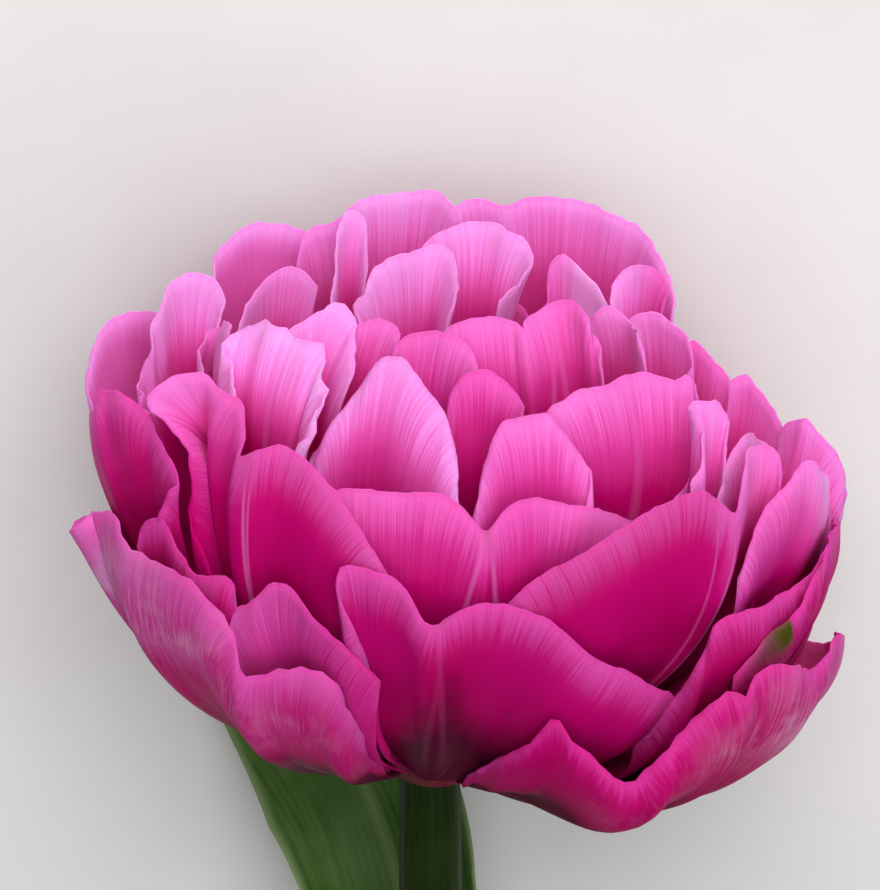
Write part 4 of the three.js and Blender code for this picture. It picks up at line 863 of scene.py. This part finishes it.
def petal_colours(look, tip, u, v, across, from_rim):
    """The colour attributes of a petal, which its material reads."""
    full = np.ones_like(from_rim)
    # Paleness near the rim: partly the petal's own, and partly a painted highlight and painted light over
    # shade.
    fair = listed(look["fair"], u)
    rim = ease(RIM_BAND + FAIR_BAND * fair, 0, from_rim)
    level = BODY_LEVEL + FAIR_GAIN * fair * ease(*FAIR_REACH, from_rim)
    # A lighter rim: partly the petal's own paler edge and partly a painted highlight where the rim
    # catches the light.
    level = level + listed(look["light"], u) * rim
    # Darker towards the foot: partly the petal's own deeper base and partly painted shade deep in the
    # cup.
    level = level - FOOT_DARK * ease(*FOOT_DARK_REACH, v)
    level = level - listed(look["deep"], u) * ease(*DEEP_REACH, v)
    fray = BODY_FRAY + FAIR_FRAY * fair + RIM_FRAY * rim * (1 - rim)
    green_share, green_from, green_full = look["green"]
    green = listed(green_share, u) * ease(green_from, green_full, v) * ease(*GREEN_ENDS, from_ends(u))
    narrowing = np.maximum(v, RIB_NARROW)
    # A dark middle: a darker midrib together with painted shade in the fold below the notch.
    for seen_at, half_width, depth in look["middles"]:
        gap = (across - rim_place(tip, across, seen_at)) * narrowing / half_width
        level = level - depth * bell(gap, 1) * ease(*MIDDLE_REACH, v)
        line = bell(gap * MIDDLE_GREEN_NARROW, 1) * ease(*MIDDLE_GREEN_REACH, from_rim)
        green = green + MIDDLE_GREEN * line
    band = MOTTLE_BODY + (1 - MOTTLE_BODY) * bell(from_rim - MOTTLE_FROM_RIM, MOTTLE_HALF)
    mottle = listed(look["mottle"], u) * band
    ribs = []
    for seen_at, slant, half_width, strength in (look["ribs"] + [NO_RIB] * 2)[:2]:
        gap = (across - rim_place(tip, across, seen_at) - slant * (1 - v)) * narrowing / half_width
        ribs.append(np.clip(HALFWAY + gap / RIB_SPAN, 0, 1))
        ribs.append(strength * ease(*RIB_RIM, v) * ease(*RIB_FOOT, v) * full)
    # Lilac: partly the petal's own and partly painted sheen and a painted glow of light through the
    # petal.
    sheer_share, sheer_reach = look["sheer"]
    sheer = listed(sheer_share, u) * ease(LILAC_SHEEN_FADE * sheer_reach, sheer_reach, from_rim)
    depth = np.clip(from_rim / DEPTH_SPAN, 0, 1)
    frost = listed(look["frost"], u) * ease(*FROST_REACH, from_rim)
    return dict(tone=np.stack([level, fray, green, mottle], axis=-1),
                ribs=np.stack(ribs, axis=-1), cast=np.stack([sheer, depth, frost, full], axis=-1))


def veins_to_rim(grid, across, from_rim):
    """The place along the rim of each vein: it follows the ribs and bends to meet the rim squarely."""
    along = np.gradient(grid[:, -1], axis=0)
    outward = grid[:, -1] - grid[:, -1 - VEIN_ROWS]
    slant = (along * outward).sum(1) / (lengths(along) * lengths(outward))[:, 0]
    blur = bell(across - across.T, VEIN_BLUR)
    slant = (blur * slant).sum(1) / blur.sum(1)
    bend = min(VEIN_BEND, VEIN_BEND_SHARE * across[-1, 0])
    return across - slant[:, None] * bend * (1 - np.exp(-from_rim / bend))


def build_petal(petal, order, material):
    """One petal, a thin blade with its own relief, fan map and colours."""
    draw = np.random.default_rng(PETAL_SEED + order)
    plain_fair_and_lit = min(FAIR_LEAST + FAIR_STEP * petal["whorl"], FAIR_MOST)
    look = {**PLAIN_LOOK, "fair": plain_fair_and_lit, **petal.get("look", {})}
    ribs, rim_length = petal_ribs(petal)
    tip = ribs[-1]
    u = np.linspace(0, 1, len(tip))[:, None]
    v = np.linspace(0, 1, PETAL_ROWS + 1)[None, :]
    across = run_along(tip)[:, None]
    grid = on_table(petal_surface(look, ribs, rim_length, u, v, across, draw))
    grid = pressed(grid, PETAL_LEVEL + LAYER_RISE * petal["whorl"])
    thickness = FOOT_THICKNESS + (RIM_THICKNESS - FOOT_THICKNESS) * ease(0, 1, v)
    at_end = 1 - ease(0, END_SETTLE, from_ends(u))
    thickness = thickness - (thickness - RIM_THICKNESS) * at_end
    steps = np.linalg.norm(np.diff(grid, axis=1), axis=-1)
    from_rim = np.pad(np.cumsum(steps[:, ::-1], axis=1)[:, ::-1], ((0, 0), (0, 1)))
    fan = veins_to_rim(grid, across, from_rim)
    uv = np.stack([fan + PETAL_MAP_STEP * order, np.broadcast_to(v, fan.shape)], axis=-1)
    colours = petal_colours(look, tip, u, v, across, from_rim)
    piece = shell("petal_" + petal["name"], grid, thickness, uv, colours, material)
    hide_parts("bloom")


def build_heart(material):
    """The dome that the petals grow from, which closes the bloom below and in its middle."""
    outline = smooth_curve([(out, up, 0) for out, up in HEART_OUTLINE])[0][1:-1, :2]
    radius = np.maximum(outline[:, :1], HEART_LEAST_RADIUS)
    height = np.repeat(outline[:, 1:], HEART_ROUND, axis=1)
    angle = np.linspace(0, 2 * math.pi, HEART_ROUND, endpoint=False)
    rings = np.stack([radius * np.cos(angle), radius * np.sin(angle), height], axis=-1)
    index, quads = ring_quads(len(rings), HEART_ROUND)
    faces = quads[:, FLIPPED].tolist() + [index[0][::-1].tolist(), index[-1].tolist()]
    along = np.repeat(np.linspace(0, 1, len(rings)), HEART_ROUND)
    uv = np.stack([np.tile(angle * HEART_MAP_RADIUS, len(rings)), along], axis=1)
    none, full = np.zeros_like(along), np.ones_like(along)
    # Dark towards the foot: painted shade deep inside the bloom.
    tone = [HEART_SHADED_LEVEL * along ** 2, HEART_FRAY * full, HEART_GREEN * (1 - along), none]
    colours = dict(tone=np.stack(tone, axis=1), ribs=np.stack([none] * 4, axis=1),
                   cast=np.stack([none, full, none, full], axis=1))
    piece = make_mesh("bloom_heart", on_table(rings.reshape(-1, 3)), faces, uv, colours, material)
    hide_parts("bloom")


def build_stem(material):
    """The stem as it lies, with its neck in the bloom and a hollowed pale cut at its other end."""
    line, _ = evenly(np.array(STEM_LINE) + BLOOM_BASE, STEM_ALONG + 1)
    tangent = unit(np.gradient(line, axis=0))
    side = unit(np.array([1, 0, 0]) - tangent * tangent[:, :1])
    up = np.cross(side, tangent)
    share = np.linspace(0, 1, STEM_ALONG + 1)[:, None]
    angle = np.linspace(0, 2 * math.pi, STEM_ROUND, endpoint=False)[None, :]
    radius = STEM_RADIUS + STEM_FLARE * (share - bell(share, STEM_NECK))
    for height, flutes, wind, start in STEM_FLUTES:
        radius = radius + height * np.sin(flutes * angle + wind * share + start)
    bends = 2 * math.pi * STEM_BENDS * share + STEM_BEND_SKEW * np.sin(angle)
    radius = (radius + STEM_BEND_HEIGHT * np.sin(bends))[..., None]
    round_axis = np.cos(angle)[..., None] * side[:, None] + np.sin(angle)[..., None] * up[:, None]
    rings = list(line[:, None] + radius * round_axis)
    cut = [0] * len(rings)
    end = rings[-1]
    for inward in np.arange(1, CAP_RINGS) / CAP_RINGS:
        hollow = CAP_HOLLOW * math.sin(math.pi * min(inward * CAP_HOLLOW_REACH, 1))
        rings.append(end * (1 - inward) + line[-1] * inward - tangent[-1] * hollow)
        cut.append(1 - inward * CAP_SHADE)
    verts = np.vstack(rings + [line[:1], line[-1:]])
    verts[:, 2] = np.maximum(verts[:, 2], FLOOR_GAP)
    index, quads = ring_quads(len(rings), STEM_ROUND)
    top, bottom = index.size, index.size + 1
    fans = [[a, b, top] for a, b in zip(index[0].tolist(), np.roll(index[0], -1).tolist())]
    fans += [[b, a, bottom] for a, b in zip(index[-1].tolist(), np.roll(index[-1], -1).tolist())]
    ring_place = np.minimum(np.arange(len(rings)), STEM_ALONG) / STEM_ALONG
    along = np.repeat(ring_place, STEM_ROUND)
    across = np.tile(np.arange(STEM_ROUND) / STEM_ROUND * STEM_GIRTH, len(rings))
    uv = np.stack([np.append(across, [0, 0]), np.append(along, [0, 1])], axis=1)
    shade = np.append(np.repeat(cut, STEM_ROUND), [0, 1 - CAP_SHADE])
    none = np.zeros_like(shade)
    tone = np.stack([shade, none, none, none + 1], axis=1)
    piece = make_mesh("stem_skin", verts, quads.tolist() + fans, uv, dict(tone=tone), material)
    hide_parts("stem")


def build_leaf(leaf, order, material):
    """One blade, rolled round the stem at its foot and opening and waving towards its tip."""
    spine, place = evenly(np.array(leaf["spine"]) + BLOOM_BASE, LEAF_ALONG + 1)
    tangent = unit(np.gradient(spine, axis=0))
    share = np.linspace(0, 1, LEAF_ALONG + 1)[:, None]
    foot, tip = (np.array(direction, float) for direction in leaf["hollow"])
    hollow = foot * (1 - share) + tip * share
    hollow = unit(hollow - tangent * (hollow * tangent).sum(1, keepdims=True))
    side = np.cross(tangent, hollow)
    narrowed = np.sqrt(1 - (1 - np.minimum(share / LEAF_FOOT, 1)) ** 2)
    half = listed(leaf["half"], place)[:, None] * (LEAF_FOOT_WIDTH + (1 - LEAF_FOOT_WIDTH) * narrowed)
    roll = listed(leaf["roll"], place)[:, None]
    across = np.linspace(-1, 1, LEAF_ACROSS + 1)[None, :]
    width = across * half
    swell = leaf["wave"] * abs(across) ** LEAF_WAVE_RISE * np.sqrt(np.sin(math.pi * share).clip(0))
    lift = swell * np.sin(2 * math.pi * leaf["waves"] * share + np.sign(across) * LEAF_WAVE_SHIFT)
    ridges = LEAF_RIDGE_HEIGHT * np.sin(2 * math.pi * width / LEAF_RIDGE_WAVE)
    fold = -LEAF_FOLD_DEPTH * bell(width, LEAF_FOLD_HALF)
    relief = lift + ridges * ease(*LEAF_RIDGE_START, share) + fold * ease(*LEAF_FOLD_START, share)
    bulge = roll * (1 - np.cos(width / roll)) + relief
    flat = roll * np.sin(width / roll)
    grid = spine[:, None] + side[:, None] * flat[..., None] + hollow[:, None] * bulge[..., None]
    grid = pressed(grid, LEAF_LEVEL).transpose(1, 0, 2)
    width = width.T
    full = np.ones_like(width)
    thick = LEAF_MARGIN + (LEAF_MIDDLE - LEAF_MARGIN) * (1 - abs(across.T) ** LEAF_TAPER) * full
    edge = ease(*LEAF_EDGE_BAND, abs(across.T)) * full
    tone = np.stack([edge, bell(width, LEAF_MIDRIB_HALF), 0 * full, full], axis=-1)
    uv = np.stack([width + LEAF_MAP_STEP * order, share.T * full], axis=-1)
    piece = shell(leaf["name"] + "_blade", grid, thick, uv, dict(tone=tone), material)
    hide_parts(leaf["name"])


class Skin:
    """A material, and short ways to add nodes to it. A value is a socket or a constant."""

    def __init__(self, name):
        self.material = bpy.data.materials.new(name)
        self.material.use_nodes = True
        self.tree = self.material.node_tree
        self.shader = self.tree.nodes["Principled BSDF"]

    def feed(self, node, values):
        for name, value in values.items():
            socket = node.inputs[name]
            if isinstance(value, bpy.types.NodeSocket):
                self.tree.links.new(value, socket)
            else:
                socket.default_value = value

    def node(self, kind, **values):
        """A node with values for the inputs that they name, with _ for a space."""
        node = self.tree.nodes.new("ShaderNode" + kind)
        self.feed(node, {name.replace("_", " "): value for name, value in values.items()})
        return node

    def maths(self, kind, first, second):
        node = self.node("Math")
        node.operation = kind
        self.feed(node, {0: first, 1: second})
        return node.outputs["Value"]

    def plus(self, first, second):
        return self.maths("ADD", first, second)

    def times(self, first, second):
        return self.maths("MULTIPLY", first, second)

    def about(self, value, gain):
        """How far a value is from halfway, times a gain."""
        return self.times(self.maths("SUBTRACT", value, HALFWAY), gain)

    def ease(self, low, high, value):
        node = self.node("MapRange", Value=value, From_Min=low, From_Max=high)
        node.interpolation_type = "SMOOTHSTEP"
        return node.outputs["Result"]

    def mix(self, share, under, over):
        """One colour over another by a share."""
        node = self.node("Mix")
        node.data_type = "RGBA"
        sides = [socket for socket in node.inputs if socket.type == "RGBA"]
        for socket, colour in zip(sides, (under, over)):
            if isinstance(colour, tuple):
                socket.default_value = (*colour, 1)
            else:
                self.tree.links.new(colour, socket)
        self.feed(node, {"Factor": share})
        return next(socket for socket in node.outputs if socket.type == "RGBA")

    def ramp(self, value, stops):
        node = self.node("ValToRGB", Fac=value)
        elements = node.color_ramp.elements
        for k, (position, colour) in enumerate(stops):
            element = elements[k] if k < 2 else elements.new(position)
            element.position = position
            element.color = (*colour, 1)
        return node.outputs["Color"]

    def noise(self, scale, detail, vector=None):
        """Noise in space, or over another vector."""
        vector = vector or self.node("TexCoord").outputs["Object"]
        return self.node("TexNoise", Vector=vector, Scale=scale, Detail=detail).outputs["Fac"]

    def streaks(self, across, along, detail):
        """Noise over the fan map, scaled apart so that it draws into streaks along the ribs."""
        fan = self.node("UVMap")
        fan.uv_map = "fan"
        mapping = self.node("Mapping", Vector=fan.outputs["UV"], Scale=(across, along, 1))
        return self.noise(1, detail, mapping.outputs["Vector"])

    def channels(self, name):
        """The four channels of a colour attribute."""
        node = self.node("Attribute")
        node.attribute_name = name
        split = self.node("SeparateColor", Color=node.outputs["Color"])
        return [*split.outputs, node.outputs["Alpha"]]

    def rib_line(self, gap, strength):
        """A soft line where gap, in half widths from the middle, is near nought."""
        away = self.maths("ABSOLUTE", self.about(gap, RIB_SPAN), 0)
        return self.times(self.ease(*RIB_LINE, away), strength)

    def surfaced(self, colour, height, surface):
        """The material with a colour, fine relief and one of the surfaces listed above."""
        roughness, specular, let_in, deepest, depth, bump_strength, bump_height = surface
        bump = self.node("Bump", Height=height, Strength=bump_strength, Distance=bump_height)
        self.feed(self.shader, {
            "Base Color": colour, "Roughness": roughness, "Specular IOR Level": specular,
            "Subsurface Weight": let_in, "Subsurface Radius": deepest, "Subsurface Scale": depth,
            "Normal": bump.outputs["Normal"],
        })
        return self.material


def petal_material():
    """Streaked petal colour, with silver, lilac that is partly painted sheen, wax, green and pale ribs
    laid over it in turn.
    """
    skin = Skin("petal_skin")
    level, fray, green, mottle = skin.channels("tone")
    gap_a, strength_a, gap_b, strength_b = skin.channels("ribs")
    sheer, depth, frost, _ = skin.channels("cast")
    fine = skin.streaks(*FINE_VEINS)
    bundles = skin.streaks(*VEIN_BUNDLES)
    clouds = skin.noise(*PETAL_CLOUDS)
    # The lighter rim, partly a painted highlight, frays into fine streaks some millimetres down.
    veins = skin.plus(skin.about(fine, VEIN_SWING), skin.about(bundles, BUNDLE_SWING))
    level = skin.plus(level, skin.times(veins, fray))
    level = skin.plus(level, skin.about(skin.noise(*PETAL_SHADES), SHADE_SWING))
    level = skin.plus(level, skin.times(skin.ease(*EDGE_REACH, depth), EDGE_SHADE))
    # The level carries painted light and shade as well as the petal's own colour.
    colour = skin.ramp(level, PETAL_RAMP)
    silver = skin.times(frost, skin.ease(*FROST_STREAKS, fine))
    colour = skin.mix(silver, colour, PETAL_FROST)
    # Lilac, partly the petal's own and partly painted sheen and glow of light through the petal.
    colour = skin.mix(skin.times(sheer, skin.ease(*LILAC_SHEEN_START, depth)), colour, PETAL_LILAC_SHEEN)
    speckle = skin.ease(*SPECKLE_STEP, skin.streaks(*PETAL_SPECKLE))
    patches = skin.times(skin.plus(speckle, skin.ease(*CLOUD_STEP, clouds)), MOTTLE_GAIN)
    colour = skin.mix(skin.times(mottle, patches), colour, PETAL_WAX)
    colour = skin.mix(skin.times(green, skin.ease(*GREEN_STEP, clouds)), colour, PETAL_GREEN)
    ribs = skin.maths("MAXIMUM", skin.rib_line(gap_a, strength_a), skin.rib_line(gap_b, strength_b))
    colour = skin.mix(skin.times(ribs, RIB_GAIN), colour, PETAL_RIB)
    return skin.surfaced(colour, fine, PETAL_SURFACE)


def stem_material():
    """Fibrous green, with pale pith on the cut."""
    skin = Skin("stem_skin")
    cut = skin.channels("tone")[0]
    fibres = skin.streaks(*STEM_FIBRES)
    colour = skin.ramp(fibres, list(zip(STEM_FIBRE_STOPS, (STEM_DARK, STEM_LIGHT))))
    colour = skin.mix(skin.ease(*STEM_CLOUD_STEP, skin.noise(*STEM_CLOUDS)), colour, STEM_LIGHT)
    colour = skin.mix(cut, colour, STEM_PITH)
    return skin.surfaced(colour, fibres, STEM_SURFACE)


def leaf_material():
    """Veined green under a grey bloom, with a pale midrib and edge."""
    skin = Skin("leaf_skin")
    edge, midrib = skin.channels("tone")[:2]
    veins = skin.streaks(*LEAF_VEINS)
    colour = skin.ramp(veins, list(zip(LEAF_VEIN_STOPS, (LEAF_DARK, LEAF_LIGHT))))
    colour = skin.mix(skin.times(skin.streaks(*LEAF_BANDS), LEAF_BAND_GAIN), colour, LEAF_LIGHT)
    wax = skin.ease(*LEAF_WAX_STEP, skin.noise(*LEAF_WAX))
    colour = skin.mix(skin.times(wax, LEAF_WAX_GAIN), colour, LEAF_BLOOM)
    colour = skin.mix(skin.times(midrib, LEAF_MIDRIB_GAIN), colour, LEAF_EDGE)
    colour = skin.mix(skin.times(edge, LEAF_EDGE_GAIN), colour, LEAF_EDGE)
    return skin.surfaced(colour, veins, LEAF_SURFACE)


def build_floor():
    """A plain pale floor."""
    skin = Skin("floor")
    grain = skin.noise(*FLOOR_GRAIN)
    colour = skin.ramp(grain, list(zip(FLOOR_STOPS, (FLOOR_DARK, FLOOR_LIGHT))))
    skin.feed(skin.shader, {"Base Color": colour, "Roughness": FLOOR_ROUGHNESS})
    mesh = bpy.data.meshes.new("floor")
    corners = [(x * FLOOR_HALF, y * FLOOR_HALF, 0) for x, y in ((-1, -1), (1, -1), (1, 1), (-1, 1))]
    mesh.from_pydata(corners, [], [(0, 1, 2, 3)])
    mesh.materials.append(skin.material)
    floor = bpy.data.objects.new("floor", mesh)
    bpy.context.scene.collection.objects.link(floor)


def soft_light(name, place, size, power, colour):
    data = bpy.data.lights.new(name, "AREA")
    data.shape = "DISK"
    data.size = size
    data.energy = power
    data.color = colour
    light = bpy.data.objects.new(name, data)
    light.location = place
    light.rotation_euler = (Vector(LIGHT_AIM) - Vector(place)).to_track_quat("-Z", "Y").to_euler()
    light.visible_camera = False
    bpy.context.scene.collection.objects.link(light)


def build_lights():
    """Two large soft lights and a faint sky."""
    for name, settings in LIGHTS.items():
        soft_light(name, *settings)
    world = bpy.data.worlds.new("studio")
    world.use_nodes = True
    backdrop = world.node_tree.nodes["Background"]
    backdrop.inputs["Color"].default_value = SKY_COLOUR
    backdrop.inputs["Strength"].default_value = SKY_STRENGTH
    bpy.context.scene.world = world
    bpy.context.scene.view_settings.view_transform = "Standard"


def build_camera():
    """The photograph's camera, moved with the flower to where it lies."""
    data = bpy.data.cameras.new("camera")
    data.sensor_fit = "HORIZONTAL"
    data.sensor_width = SENSOR_WIDTH
    data.lens = SENSOR_WIDTH * SIGHT_DISTANCE / (PHOTO_WIDTH / PHOTO_SCALE)
    camera = bpy.data.objects.new("camera", data)
    back = Vector(SIGHT_ON_TABLE)
    right = Vector((1, 0, 0))
    turn = Matrix((right, back.cross(right), back)).transposed().to_4x4()
    camera.matrix_world = Matrix.Translation(Vector(on_table(EYE) * MM)) @ turn
    bpy.context.scene.collection.objects.link(camera)
    bpy.context.scene.camera = camera


petal_skin = petal_material()
for number, petal in enumerate(FRONT_PETALS + HIDDEN_PETALS):
    build_petal(petal, number, petal_skin)
build_heart(petal_skin)
build_stem(stem_material())
leaf_skin = leaf_material()
for number, leaf in enumerate(LEAVES):
    build_leaf(leaf, number, leaf_skin)
build_floor()
build_lights()
build_camera()
